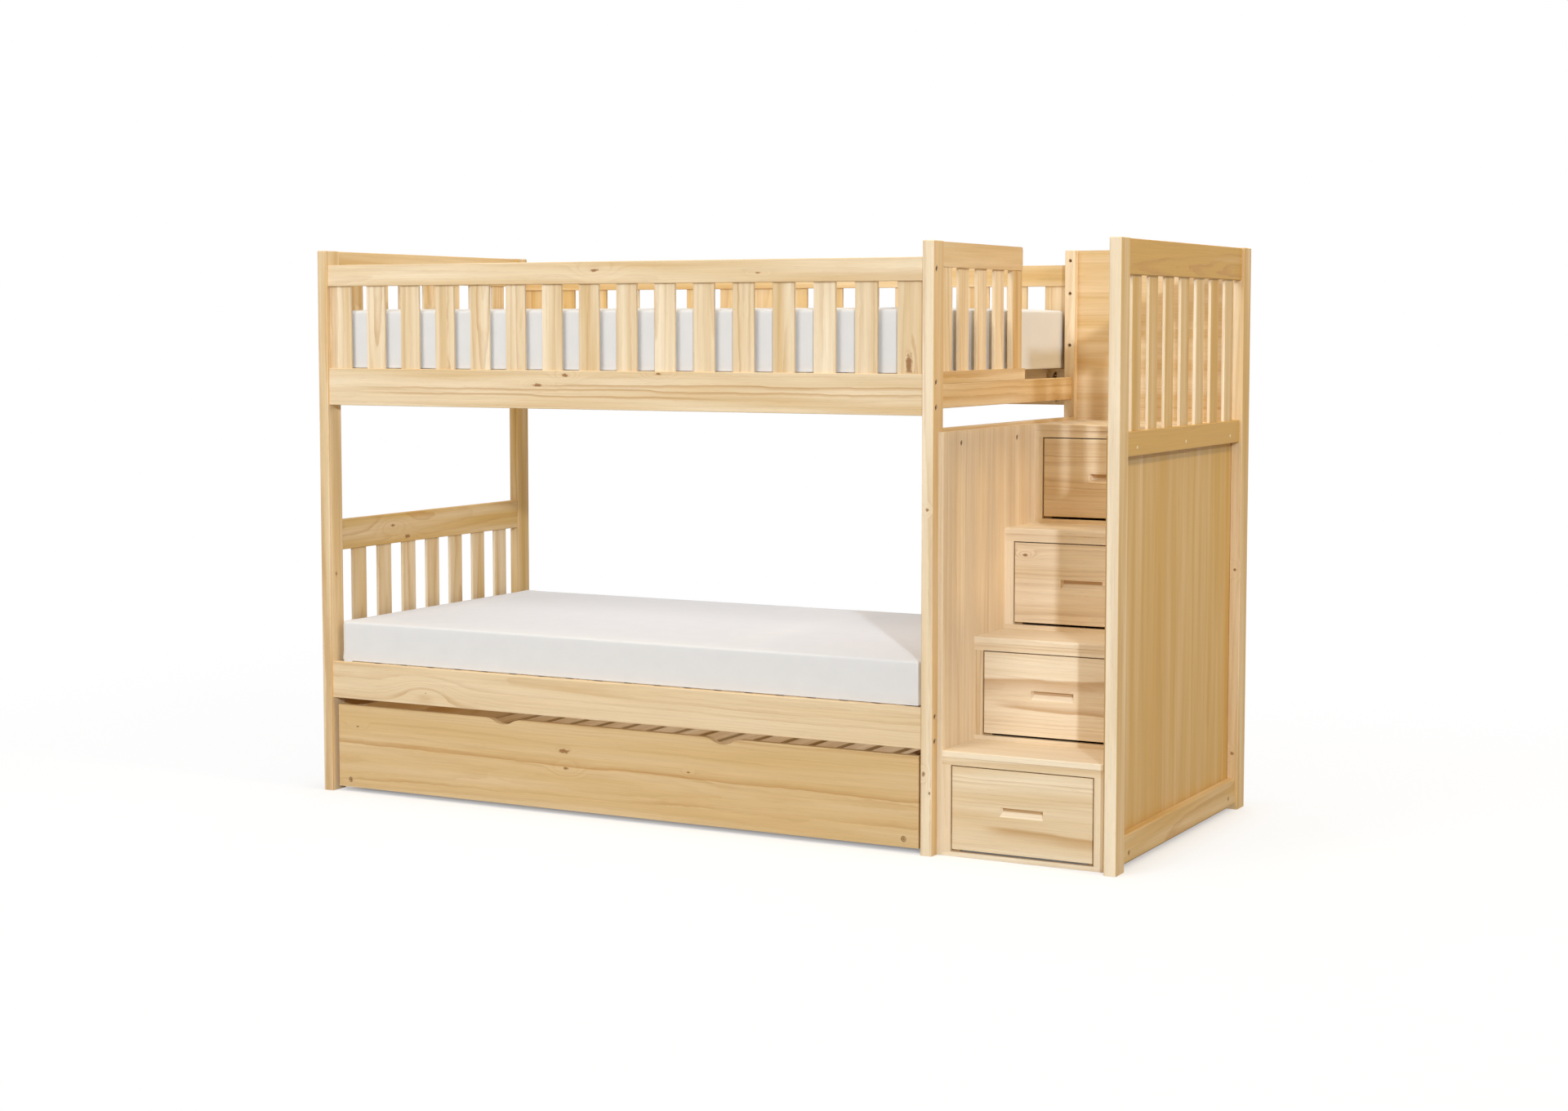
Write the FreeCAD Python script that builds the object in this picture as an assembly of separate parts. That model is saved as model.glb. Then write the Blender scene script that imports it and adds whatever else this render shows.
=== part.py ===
"""Twin bunk bed in solid pine with a drawer staircase at one end and a trundle below.

Millimetres, +Z up, the open side of the bed towards -Y and the stairs towards +X.
Every size is measured from the left end, the front and the floor. On export the
pieces move so that the origin is on the floor at the centre of the footprint.
"""
import FreeCAD, Part
import os

# Overall layout
post_thick = 33.0
post_depth = 64.0
post_height = 1629.0
bed_bay = 1960.0
stair_bay = 484.0
overall_depth = 1067.0

# Edge roundings
post_round = 3.0
rail_round = 2.5
slat_round = 1.5

# Side rails and guard boards
rail_thick = 22.0
rail_recess = 8.0
side_rail_height = 110.0
lower_rail_bottom = 284.0
guard_board_height = 63.0
guard_board_drop = 43.0
guard_opening_height = 244.0

# Slats of the guards and ends
slat_thick = 9.0
slat_width = 66.0
guard_slat_count = 14
guard_end_slat_width = 79.0
end_slat_count = 7

# End rails
top_rail_height = 92.0
top_rail_drop = 1.0
lower_end_gap = 349.0
end_rail_height = 66.0
end_rail_lift = 18.0
lower_end_rail_reach = 46.0
stair_rail_height = 64.0
stair_rail_above = 9.0
foot_rail_bottom = 17.0
foot_rail_height = 73.0

# Entry guard beside the stair opening
entry_top_height = 66.0
entry_top_drop = 2.0
entry_length = 556.0
entry_sill_height = 32.0
entry_sill_overrun = 28.0
entry_corner = 8.0
entry_stile_thick = 18.0
entry_first_stile = 76.0
entry_last_stile = 64.0
entry_slat_count = 3
entry_slat_width = 65.0

# Deck slats and ledgers
deck_slat_count = 19
deck_slat_width = 72.0
deck_slat_thick = 18.0
deck_slat_clearance = 1.0
ledger_width = 22.0
ledger_height = 28.0
ledger_setback = 62.0

# Mattresses
mattress_end_gap = 5.0
mattress_side_gap = 2.5
mattress_lift = 0.3
upper_mattress_thick = 173.0
lower_mattress_thick = 123.0
mattress_corner = 24.0
mattress_crown = 4.0
mattress_crown_shoulder = 1.5
mattress_crown_inset = 220.0
mattress_shoulder_inset = 70.0
mattress_draw_in = 3.0
mattress_edge = 7.0

# Stair cabinet
panel_thick = 15.0
stair_front = 34.0
step_count = 4
top_step_depth = 362.0
stair_drop = 43.0
tread_thick = 16.0
tread_nosing = 2.0
tread_round = 3.0
frame_thick = 18.0
apron_height = 21.0
frame_sill_height = 12.0
stile_width = 25.0
back_panel_inset = 20.0

# Drawers
drawer_side_reveal = 4.0
drawer_top_reveal = 3.0
drawer_bottom_reveal = 7.0
drawer_front_thick = 18.0
drawer_front_round = 1.5
drawer_back_gap = 44.0
drawer_side_thick = 12.0
drawer_side_drop = 56.5
drawer_side_lift = 6.0
drawer_bottom_thick = 6.0
drawer_bottom_lift = 8.0
bearer_width = 46.0
bearer_height = 14.0
guide_height = 24.0
guide_clearance = 1.5
slide_clearance = 0.3
handle_width = 122.0
handle_height = 25.0
handle_depth = 13.0
handle_wall_height = 10.0
handle_end_slope = 5.0

# Trundle
trundle_side_gap = 12.0
trundle_front_recess = 16.0
trundle_board_thick = 20.0
trundle_front_bottom = 14.0
trundle_front_height = 249.0
scoop_offset = 367.0
scoop_width = 122.0
scoop_depth = 17.0
trundle_side_inset = 44.0
trundle_frame_bottom = 16.0
trundle_frame_top = 118.0
trundle_side_drop = 5.0
trundle_back_end = 1000.0
trundle_ledger_height = 28.0
trundle_beam_height = 70.0
trundle_slat_count = 19
trundle_slat_margin = 6.0

# Trundle wheels and axles
wheel_radius = 25.0
wheel_width = 18.0
wheel_hub_diameter = 18.0
wheel_hub_play = 0.3
wheel_board_gap = 2.0
wheel_round = 3.0
wheel_end_distance = 110.0
axle_diameter = 8.0
axle_running_gap = 0.05
axle_head_diameter = 14.0
axle_head_height = 4.0
axle_nut_height = 6.0

# Bolts, nuts, screws, plugs and dowels
bolt_diameter = 8.0
bolt_hole_gap = 0.5
bolt_head_diameter = 13.0
bolt_head_height = 6.0
bolt_socket_diameter = 6.0
bolt_socket_depth = 3.5
counterbore_diameter = 16.0
counterbore_depth = 8.0
bolt_pair_spacing = 66.0
nut_pocket_diameter = 25.0
nut_pocket_wall = 4.0
nut_pocket_distance = 37.0
nut_play = 0.2
nut_end_play = 2.0
bolt_past_pocket = 12.0
trundle_bolt_lift = 22.0
trundle_bolt_reach = 45.0
screw_diameter = 6.0
screw_hole_gap = 0.2
screw_tip_gap = 2.0
screw_lift = 22.0
screw_end_distance = 87.0
foot_bolt_lift = 22.0
foot_bolt_end_distance = 57.0
plug_diameter = 9.0
plug_depth = 6.0
plug_proud = 0.4
plug_gap = 0.05
dowel_diameter = 10.0
dowel_hole_gap = 0.1
dowel_reach = 28.0
dowel_tip_gap = 1.0
dowel_edge_distance = 17.0
guard_dowel_low = 63.0
guard_dowel_high = 60.0
guard_dowel_top = 29.0

# Positions that follow from the sizes above
overall_length = 3 * post_thick + bed_bay + stair_bay
bay_left = post_thick
bay_right = bay_left + bed_bay
bay_centre = (bay_left + bay_right) / 2
middle_outer = bay_right + post_thick
stair_right = middle_outer + stair_bay
end_front = post_depth
end_back = overall_depth - post_depth
front_rail_inner = rail_recess + rail_thick
back_rail_inner = overall_depth - front_rail_inner
guard_board_bottom = post_height - guard_board_drop - guard_board_height
upper_rail_top = guard_board_bottom - guard_opening_height
upper_rail_bottom = upper_rail_top - side_rail_height
lower_rail_top = lower_rail_bottom + side_rail_height
top_rail_top = post_height - top_rail_drop
top_rail_bottom = top_rail_top - top_rail_height
upper_end_rail_bottom = upper_rail_bottom + end_rail_lift
upper_end_rail_top = upper_end_rail_bottom + end_rail_height
lower_top_rail_bottom = upper_rail_bottom - lower_end_gap - top_rail_height
lower_end_rail_bottom = lower_rail_bottom - lower_end_rail_reach
lower_end_rail_top = lower_rail_bottom + end_rail_lift + end_rail_height
lower_end_rail_height = lower_end_rail_top - lower_end_rail_bottom
stair_top = upper_rail_bottom - stair_drop
step_rise = stair_top / step_count
stair_rail_thick = post_thick - rail_recess
stair_rail_top = stair_top + stair_rail_above
stair_rail_bottom = stair_rail_top - stair_rail_height
screw_height = stair_rail_bottom + screw_lift
foot_bolt_height = foot_rail_bottom + foot_bolt_lift
left_rail_start = rail_recess
middle_rail_end = middle_outer - rail_recess
middle_rail_start = middle_rail_end - rail_thick
right_rail_end = overall_length - rail_recess
right_rail_start = right_rail_end - rail_thick
entry_end = end_front + entry_length
entry_sill_top = upper_end_rail_top + entry_sill_height
entry_top_top = post_height - entry_top_drop
entry_top_bottom = entry_top_top - entry_top_height
guard_dowel_heights = (entry_sill_top + guard_dowel_low, entry_top_bottom - guard_dowel_high,
                       entry_top_top - guard_dowel_top)
back_panel_front = end_back + back_panel_inset
cabinet_left = middle_outer + panel_thick
cabinet_right = stair_right - panel_thick
cabinet_centre = (cabinet_left + cabinet_right) / 2
top_step_front = back_panel_front - top_step_depth
step_run = (top_step_front - stair_front) / (step_count - 1)
drawer_box_length = top_step_depth - drawer_front_thick - drawer_back_gap
drawer_left = cabinet_left + stile_width + drawer_side_reveal
drawer_right = cabinet_right - stile_width - drawer_side_reveal
trundle_left = bay_left + trundle_side_gap
trundle_right = bay_right - trundle_side_gap
trundle_front_back = trundle_front_recess + trundle_board_thick
trundle_back_start = trundle_back_end - trundle_board_thick
trundle_front_top = trundle_front_bottom + trundle_front_height
trundle_side_top = trundle_front_top - trundle_side_drop
trundle_ledger_top = trundle_frame_top - deck_slat_thick
trundle_bolt_height = trundle_front_bottom + trundle_bolt_lift
trundle_left_outer = trundle_left + trundle_side_inset - trundle_board_thick / 2
trundle_left_inner = trundle_left_outer + trundle_board_thick
trundle_right_inner = 2 * bay_centre - trundle_left_inner
trundle_right_outer = 2 * bay_centre - trundle_left_outer
wheel_rows = (trundle_front_back + wheel_end_distance, trundle_back_end - wheel_end_distance)

AXIS_X = FreeCAD.Vector(1, 0, 0)
AXIS_Y = FreeCAD.Vector(0, 1, 0)
AXIS_Z = FreeCAD.Vector(0, 0, 1)


def box(x0, x1, y0, y1, z0, z1):
    """Plain board between two corners."""
    return Part.makeBox(x1 - x0, y1 - y0, z1 - z0, FreeCAD.Vector(x0, y0, z0))


def edges_along(shape, axis):
    """Straight edges that run along one axis."""
    found = []
    for edge in shape.Edges:
        run = edge.Vertexes[1].Point.sub(edge.Vertexes[0].Point)
        if run.cross(axis).Length < 1e-6:
            found.append(edge)
    return found


def eased(shape, axis, radius):
    """Board with its long edges rounded."""
    return shape.makeFillet(radius, edges_along(shape, axis))


def rod(start, axis, length, diameter):
    """Round bar, or the hole it goes in."""
    return Part.makeCylinder(diameter / 2, length, FreeCAD.Vector(*start), axis)


def mirrored(shape, centre_x):
    """Copy on the other side of a plane across the length."""
    return shape.mirror(FreeCAD.Vector(centre_x, 0, 0), AXIS_X)


def flipped_back(shape):
    """Copy at the back of the bed."""
    return shape.mirror(FreeCAD.Vector(0, overall_depth / 2, 0), AXIS_Y)


def spread(start, end, count, width):
    """Starts of equally spaced pieces, with the same gap at both ends as between them."""
    gap = (end - start - count * width) / (count + 1)
    return [start + gap + i * (width + gap) for i in range(count)]


def spread_to_ends(start, end, count, width):
    """Starts of equally spaced pieces, the first and last at the ends."""
    pitch = (end - start - width) / (count - 1)
    return [start + i * pitch for i in range(count)]


def keep(name, shapes):
    """Write one node, moved to the origin of the finished part."""
    node = Part.makeCompound(shapes) if len(shapes) > 1 else shapes[0].copy()
    node.translate(FreeCAD.Vector(-overall_length / 2, -overall_depth / 2, 0))
    node.exportStep("parts/" + name + ".step")


# Hardware

def socket_bolt(start, axis, shank_length):
    """Bolt with a round socket head; start is the seat under the head."""
    seat = FreeCAD.Vector(*start)
    back = axis * -1
    head = Part.makeCylinder(bolt_head_diameter / 2, bolt_head_height, seat, back)
    socket_start = seat + back * (bolt_head_height - bolt_socket_depth)
    socket = Part.makeCylinder(bolt_socket_diameter / 2, bolt_socket_depth, socket_start, back)
    shank = Part.makeCylinder(bolt_diameter / 2, shank_length, seat, axis)
    return head.cut(socket).fuse(shank).removeSplitter()


def recessed_hole(mouth, axis, length, diameter):
    """Clearance hole with a counterbore at its mouth."""
    counterbore = rod(mouth, axis, counterbore_depth, counterbore_diameter)
    hole = rod(mouth, axis, length, diameter)
    return counterbore.fuse(hole)


def bolt_heights(bottom, height):
    """Heights of the two bolts at one end of a side rail."""
    middle = bottom + height / 2
    return [middle - bolt_pair_spacing / 2, middle + bolt_pair_spacing / 2]


upper_bolts = bolt_heights(upper_rail_bottom, side_rail_height)
lower_bolts = bolt_heights(lower_rail_bottom, side_rail_height)
guard_bolts = [guard_board_bottom + guard_board_height / 2]
post_bolts = upper_bolts + lower_bolts + guard_bolts
rail_axis = rail_recess + rail_thick / 2
rail_bolt_length = post_thick - counterbore_depth + nut_pocket_distance + bolt_past_pocket


def rail_bolt(height):
    """Bolt through the front left post into the end of a front rail."""
    return socket_bolt((counterbore_depth, rail_axis, height), AXIS_X, rail_bolt_length)


def rail_bolt_hole(height):
    """Hole for that bolt, through the post and into the rail."""
    length = counterbore_depth + rail_bolt_length + bolt_hole_gap
    return recessed_hole((0, rail_axis, height), AXIS_X, length, bolt_diameter + bolt_hole_gap)


def nut_pocket(height):
    """Round pocket in the rail's inner face, where the nut goes on."""
    mouth = (bay_left + nut_pocket_distance, front_rail_inner, height)
    return rod(mouth, AXIS_Y * -1, rail_thick - nut_pocket_wall, nut_pocket_diameter)


def half_moon_nut(height):
    """Half-round nut that bears on the post side of its pocket."""
    centre_x = bay_left + nut_pocket_distance
    start_y = rail_recess + nut_pocket_wall + nut_end_play
    length = rail_thick - nut_pocket_wall - 2 * nut_end_play
    disc = rod((centre_x, start_y, height), AXIS_Y, length, nut_pocket_diameter - 2 * nut_play)
    half = box(centre_x - nut_pocket_diameter, centre_x, 0, overall_depth, height - nut_pocket_diameter,
               height + nut_pocket_diameter)
    bore = rod((0, rail_axis, height), AXIS_X, bed_bay, bolt_diameter + bolt_hole_gap)
    return disc.common(half).cut(bore)


def turned_out(shape):
    """The same cut or nut, on the outer face of the rail."""
    return shape.mirror(FreeCAD.Vector(0, rail_axis, 0), AXIS_Y)


def both_ends(shapes):
    """The same pieces at the left and at the right end of a rail."""
    return shapes + [mirrored(s, bay_centre) for s in shapes]


def four_corners(shapes):
    """The same pieces at both ends of the front and of the back rails."""
    front = both_ends(shapes)
    return front + [flipped_back(s) for s in front]


def rail_nuts():
    """Nuts of all rails; both guard boards have their pockets towards the back of the bed."""
    rail = [half_moon_nut(height) for height in upper_bolts + lower_bolts]
    guard = [half_moon_nut(height) for height in guard_bolts]
    back_guard = [flipped_back(turned_out(nut)) for nut in both_ends(guard)]
    return four_corners(rail) + both_ends(guard) + back_guard


def dowel(start, reach):
    """Glued dowel along the depth, from its end in the post; reach is its whole length."""
    return rod(start, AXIS_Y, reach, dowel_diameter)


def rail_dowel_spots(x_middle, bottom, height):
    """Dowel positions at the front end of an end rail, as height and length position."""
    return [(x_middle, bottom + dowel_edge_distance), (x_middle, bottom + height - dowel_edge_distance)]


left_middle = left_rail_start + rail_thick / 2
middle_middle = middle_rail_start + rail_thick / 2
right_middle = right_rail_start + rail_thick / 2
stair_rail_middle = middle_outer - stair_rail_thick / 2
right_stair_middle = right_rail_end - stair_rail_thick / 2


def end_frame_spots():
    """Dowel positions of every rail that runs from a front post to a back post."""
    spots = []
    for middle in (left_middle, middle_middle):
        spots += rail_dowel_spots(middle, upper_end_rail_bottom, end_rail_height)
        spots += rail_dowel_spots(middle, lower_end_rail_bottom, lower_end_rail_height)
        spots += rail_dowel_spots(middle, lower_top_rail_bottom, top_rail_height)
    spots += rail_dowel_spots(left_middle, top_rail_bottom, top_rail_height)
    spots += rail_dowel_spots(right_middle, top_rail_bottom, top_rail_height)
    spots += rail_dowel_spots(stair_rail_middle, stair_rail_bottom, stair_rail_height)
    spots += rail_dowel_spots(right_stair_middle, stair_rail_bottom, stair_rail_height)
    spots += rail_dowel_spots(right_stair_middle, foot_rail_bottom, foot_rail_height)
    return spots


def guard_spots():
    """Dowel positions of the entry guard, on the middle line of the post."""
    return [(bay_right + post_thick / 2, height) for height in guard_dowel_heights]


def front_dowels(spots):
    """Dowels across the joint at the front posts."""
    return [dowel((x, end_front - dowel_reach, z), 2 * dowel_reach) for x, z in spots]


def front_dowel_holes(spots):
    """Holes for those dowels, in post and rail."""
    depth = dowel_reach + dowel_tip_gap
    bore = dowel_diameter + 2 * dowel_hole_gap
    return [rod((x, end_front - depth, z), AXIS_Y, 2 * depth, bore) for x, z in spots]


frame_holes = front_dowel_holes(end_frame_spots())
back_frame_holes = [flipped_back(hole) for hole in frame_holes]
guard_holes = front_dowel_holes(guard_spots())
back_guard_holes = [flipped_back(hole) for hole in guard_holes]


def within(holes, x0, x1):
    """Holes that lie in one range of the length."""
    return [hole for hole in holes if x0 < hole.BoundBox.Center.x < x1]


# Posts

def post(x0):
    """Front post with rounded upright and top edges."""
    block = box(x0, x0 + post_thick, 0, post_depth, 0, post_height)
    top = [edge for edge in block.Edges if edge.BoundBox.ZMin > post_height / 2]
    return block.makeFillet(post_round, edges_along(block, AXIS_Z) + top)


def build_posts():
    """Six posts with the holes for the rail bolts and dowels."""
    bolt_holes = [rail_bolt_hole(height) for height in post_bolts]
    bolted_left = bolt_holes
    bolted_middle = [mirrored(hole, bay_centre) for hole in bolt_holes]
    starts = {"left": 0.0, "middle": bay_right, "right": stair_right}
    bolts = {"left": bolted_left, "middle": bolted_middle, "right": []}
    for place, x0 in starts.items():
        blank = post(x0)
        front_cuts = bolts[place] + within(frame_holes, x0, x0 + post_thick)
        back_cuts = [flipped_back(hole) for hole in bolts[place]]
        back_cuts += within(back_frame_holes, x0, x0 + post_thick)
        if place == "middle":
            front_cuts += guard_holes
            back_cuts += back_guard_holes
        keep("front_" + place + "_post", [blank.cut(front_cuts)])
        keep("back_" + place + "_post", [flipped_back(blank).cut(back_cuts)])


# Side rails, guard boards and their slats

def side_rail(bottom, height, heights, outward=False):
    """Front rail between the posts, with bolt holes and nut pockets at both ends."""
    board = box(bay_left, bay_right, rail_recess, front_rail_inner, bottom, bottom + height)
    pockets = [nut_pocket(bolt_height) for bolt_height in heights]
    if outward:
        pockets = [turned_out(pocket) for pocket in pockets]
    cuts = both_ends([rail_bolt_hole(bolt_height) for bolt_height in heights] + pockets)
    return eased(board, AXIS_X, rail_round).cut(cuts)


def upright_slat(x0, x1, y0, y1, z0, z1):
    """Thin upright slat with rounded edges."""
    return eased(box(x0, x1, y0, y1, z0, z1), AXIS_Z, slat_round)


def guard_slats():
    """Front guard slats from the rail to the board, wide ones at the posts."""
    y0 = rail_axis - slat_thick / 2
    y1 = rail_axis + slat_thick / 2
    inner_start = bay_left + guard_end_slat_width
    inner_end = bay_right - guard_end_slat_width
    starts = spread(inner_start, inner_end, guard_slat_count, slat_width)
    spans = [(x0, x0 + slat_width) for x0 in starts]
    spans = [(bay_left, inner_start)] + spans + [(inner_end, bay_right)]
    return [upright_slat(x0, x1, y0, y1, upper_rail_top, guard_board_bottom) for x0, x1 in spans]


def build_sides():
    """Front and back of the bed."""
    guard = (guard_board_bottom, guard_board_height, guard_bolts)
    keep("front_guard_board", [side_rail(*guard)])
    keep("back_guard_board", [flipped_back(side_rail(*guard, outward=True))])
    pieces = {
        "guard_slats": guard_slats(),
        "upper_rail": [side_rail(upper_rail_bottom, side_rail_height, upper_bolts)],
        "lower_rail": [side_rail(lower_rail_bottom, side_rail_height, lower_bolts)],
    }
    for name, shapes in pieces.items():
        keep("front_" + name, shapes)
        keep("back_" + name, [flipped_back(shape) for shape in shapes])


# Ends

def end_rail(x0, x1, bottom, height):
    """Rail across the depth between two posts, with its dowel holes."""
    board = box(x0, x1, end_front, end_back, bottom, bottom + height)
    return eased(board, AXIS_Y, rail_round).cut(within(frame_holes + back_frame_holes, x0, x1))


def end_slats(x_middle, z0, z1):
    """Row of upright slats across the depth."""
    x0 = x_middle - slat_thick / 2
    x1 = x_middle + slat_thick / 2
    starts = spread(end_front, end_back, end_slat_count, slat_width)
    return [upright_slat(x0, x1, y0, y0 + slat_width, z0, z1) for y0 in starts]


def build_left_end():
    """Head end of the bed: an upper and a lower frame."""
    x1 = left_rail_start + rail_thick
    keep("left_upper_top_rail", [end_rail(left_rail_start, x1, top_rail_bottom, top_rail_height)])
    keep("left_lower_top_rail", [end_rail(left_rail_start, x1, lower_top_rail_bottom, top_rail_height)])
    upper = end_slats(left_middle, upper_end_rail_top, top_rail_bottom)
    lower = end_slats(left_middle, lower_end_rail_top, lower_top_rail_bottom)
    keep("left_end_slats", upper + lower)


def build_middle_end():
    """End of the bed next to the stairs, below the entry guard."""
    top = end_rail(middle_rail_start, middle_rail_end, lower_top_rail_bottom, top_rail_height)
    keep("middle_lower_top_rail", [top])
    keep("middle_end_slats", end_slats(middle_middle, lower_end_rail_top, lower_top_rail_bottom))
    starts = (left_rail_start, middle_rail_start)
    for name, bottom, height in (("upper", upper_end_rail_bottom, end_rail_height),
                                 ("lower", lower_end_rail_bottom, lower_end_rail_height)):
        keep(name + "_end_rails", [end_rail(x0, x0 + rail_thick, bottom, height) for x0 in starts])
    stair_rail_start = middle_outer - stair_rail_thick
    stair_rail = end_rail(stair_rail_start, middle_outer, stair_rail_bottom, stair_rail_height)
    keep("middle_stair_rail", [stair_rail.cut(left_screw_holes())])


def build_right_end():
    """Far end of the stairs."""
    keep("right_top_rail", [end_rail(right_rail_start, right_rail_end, top_rail_bottom, top_rail_height)])
    keep("right_end_slats", end_slats(right_middle, stair_rail_top, top_rail_bottom))
    x0 = right_rail_end - stair_rail_thick
    middle = end_rail(x0, right_rail_end, stair_rail_bottom, stair_rail_height)
    keep("right_middle_rail", [middle.cut(right_screw_holes())])
    foot = end_rail(x0, right_rail_end, foot_rail_bottom, foot_rail_height)
    keep("right_bottom_rail", [foot.cut(foot_bolt_holes())])


# Entry guard

def entry_rail(y1, z0, z1, corner_edges):
    """Rail of the entry guard, rounded at its free end."""
    board = box(middle_rail_start, middle_rail_end, end_front, y1, z0, z1)
    return board.makeFillet(entry_corner, corner_edges(board, y1, z1))


def free_top_edge(board, y1, z1):
    """Top corner at the free end."""
    return [edge for edge in edges_along(board, AXIS_X)
            if edge.BoundBox.YMin > y1 - 1 and edge.BoundBox.ZMin > z1 - 1]


def free_upright_edges(board, y1, z1):
    """Both upright corners at the free end."""
    return [edge for edge in edges_along(board, AXIS_Z) if edge.BoundBox.YMin > y1 - 1]


def entry_uprights():
    """Two stiles and the thin slats between them."""
    def upright(y0, y1, thick):
        return upright_slat(middle_middle - thick / 2, middle_middle + thick / 2, y0, y1,
                            entry_sill_top, entry_top_bottom)
    first_end = end_front + entry_first_stile
    last_start = entry_end - entry_last_stile
    first = upright(end_front, first_end, entry_stile_thick).cut(guard_holes)
    last = upright(last_start, entry_end, entry_stile_thick)
    starts = spread(first_end, last_start, entry_slat_count, entry_slat_width)
    return [first, last] + [upright(y0, y0 + entry_slat_width, slat_thick) for y0 in starts]


def build_entry_guard():
    """Short guard at the top of the stairs, doweled to the front middle post."""
    top = entry_rail(entry_end, entry_top_bottom, entry_top_top, free_top_edge)
    keep("entry_guard_top_rail", [top.cut(guard_holes)])
    sill_end = entry_end + entry_sill_overrun
    keep("entry_guard_bottom_rail", [entry_rail(sill_end, upper_end_rail_top, entry_sill_top,
                                                free_upright_edges)])
    keep("entry_guard_uprights", entry_uprights())


# Decks and mattresses

def ledgers(rail_top):
    """Two strips on the inner faces of the side rails, under the deck slats."""
    top = rail_top - deck_slat_thick
    front = box(bay_left + ledger_setback, bay_right - ledger_setback, front_rail_inner,
                front_rail_inner + ledger_width, top - ledger_height, top)
    return [front, flipped_back(front)]


def deck_slats(rail_top):
    """Slats across the depth, flush with the tops of the side rails."""
    starts = spread_to_ends(bay_left + ledger_setback, bay_right - ledger_setback, deck_slat_count,
                            deck_slat_width)
    y0 = front_rail_inner + deck_slat_clearance
    y1 = back_rail_inner - deck_slat_clearance
    return [eased(box(x0, x0 + deck_slat_width, y0, y1, rail_top - deck_slat_thick, rail_top), AXIS_Y,
                  slat_round) for x0 in starts]


def soft_outline(x0, x1, y0, y1, z):
    """Closed outline with round corners and sides that draw in between them."""
    corner = mattress_corner
    along = [FreeCAD.Vector(x0 + corner, y0, z), FreeCAD.Vector(x1 - corner, y0, z)]
    right = [FreeCAD.Vector(x1, y0 + corner, z), FreeCAD.Vector(x1, y1 - corner, z)]
    back = [FreeCAD.Vector(x1 - corner, y1, z), FreeCAD.Vector(x0 + corner, y1, z)]
    left = [FreeCAD.Vector(x0, y1 - corner, z), FreeCAD.Vector(x0, y0 + corner, z)]
    sides = [along, right, back, left]
    centre = FreeCAD.Vector((x0 + x1) / 2, (y0 + y1) / 2, z)
    edges = []
    for i, side in enumerate(sides):
        middle = (side[0] + side[1]) / 2
        inward = (centre - middle).normalize() * mattress_draw_in
        edges.append(Part.Arc(side[0], middle + inward, side[1]).toShape())
        following = sides[(i + 1) % len(sides)]
        hub = following[0] + side[1] - corner_point(side[1], following[0], centre)
        bulge = (corner_point(side[1], following[0], centre) - hub).normalize() * corner
        edges.append(Part.Arc(side[1], hub + bulge, following[0]).toShape())
    return Part.Wire(edges)


def corner_point(a, b, centre):
    """Sharp corner outside a rounded one."""
    first = FreeCAD.Vector(a.x, b.y, a.z)
    second = FreeCAD.Vector(b.x, a.y, a.z)
    return first if first.distanceToPoint(centre) > second.distanceToPoint(centre) else second


def mattress(rail_top, thick):
    """Soft block: rounded edges, sides drawn in, a low crown on top."""
    x0 = bay_left + mattress_end_gap
    x1 = bay_right - mattress_end_gap
    y0 = rail_axis + slat_thick / 2 + mattress_side_gap
    y1 = overall_depth - y0
    z0 = rail_top + mattress_lift
    edge_top = z0 + thick - mattress_crown
    shoulder = edge_top + mattress_crown - mattress_crown_shoulder
    levels = [
        (z0, mattress_edge),
        (z0 + mattress_edge, 0.0),
        (z0 + thick / 2, mattress_draw_in),
        (edge_top - mattress_edge, 0.0),
        (edge_top, mattress_edge),
        (shoulder, mattress_shoulder_inset),
        (z0 + thick, mattress_crown_inset),
    ]
    wires = [soft_outline(x0 + inset, x1 - inset, y0 + inset, y1 - inset, z) for z, inset in levels]
    return Part.makeLoft(wires, True, True)


def build_beds():
    """Ledgers, deck slats and mattresses of both bunks."""
    keep("deck_ledgers", ledgers(upper_rail_top) + ledgers(lower_rail_top))
    keep("upper_deck_slats", deck_slats(upper_rail_top))
    keep("lower_deck_slats", deck_slats(lower_rail_top))
    keep("upper_mattress", [mattress(upper_rail_top, upper_mattress_thick)])
    keep("lower_mattress", [mattress(lower_rail_top, lower_mattress_thick)])


# Stair cabinet

def screw_rows():
    """Positions of the three stair screws across the depth."""
    first = end_front + screw_end_distance
    return [first, overall_depth / 2, overall_depth - first]


def left_screw_holes():
    """Holes from inside the cabinet through the left panel into the stair rail."""
    length = panel_thick + stair_rail_thick - screw_tip_gap
    bore = screw_diameter + screw_hole_gap
    return [recessed_hole((cabinet_left, y, screw_height), AXIS_X * -1, length, bore) for y in screw_rows()]


def right_screw_holes():
    """Plugged holes from outside through the right middle rail into the right panel."""
    length = stair_rail_thick + panel_thick - screw_tip_gap
    holes = []
    for y in screw_rows():
        mouth = (right_rail_end, y, screw_height)
        holes.append(rod(mouth, AXIS_X * -1, plug_depth, plug_diameter + 2 * plug_gap))
        holes.append(rod(mouth, AXIS_X * -1, length, screw_diameter + screw_hole_gap))
    return holes


def foot_bolt_rows():
    """Positions of the two bolts in the right bottom rail."""
    first = end_front + foot_bolt_end_distance
    return [first, overall_depth - first]


def foot_bolt_holes():
    """Recessed holes through the right bottom rail into the right panel."""
    length = stair_rail_thick + panel_thick - screw_tip_gap
    bore = screw_diameter + screw_hole_gap
    return [recessed_hole((right_rail_end, y, foot_bolt_height), AXIS_X * -1, length, bore)
            for y in foot_bolt_rows()]


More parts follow.
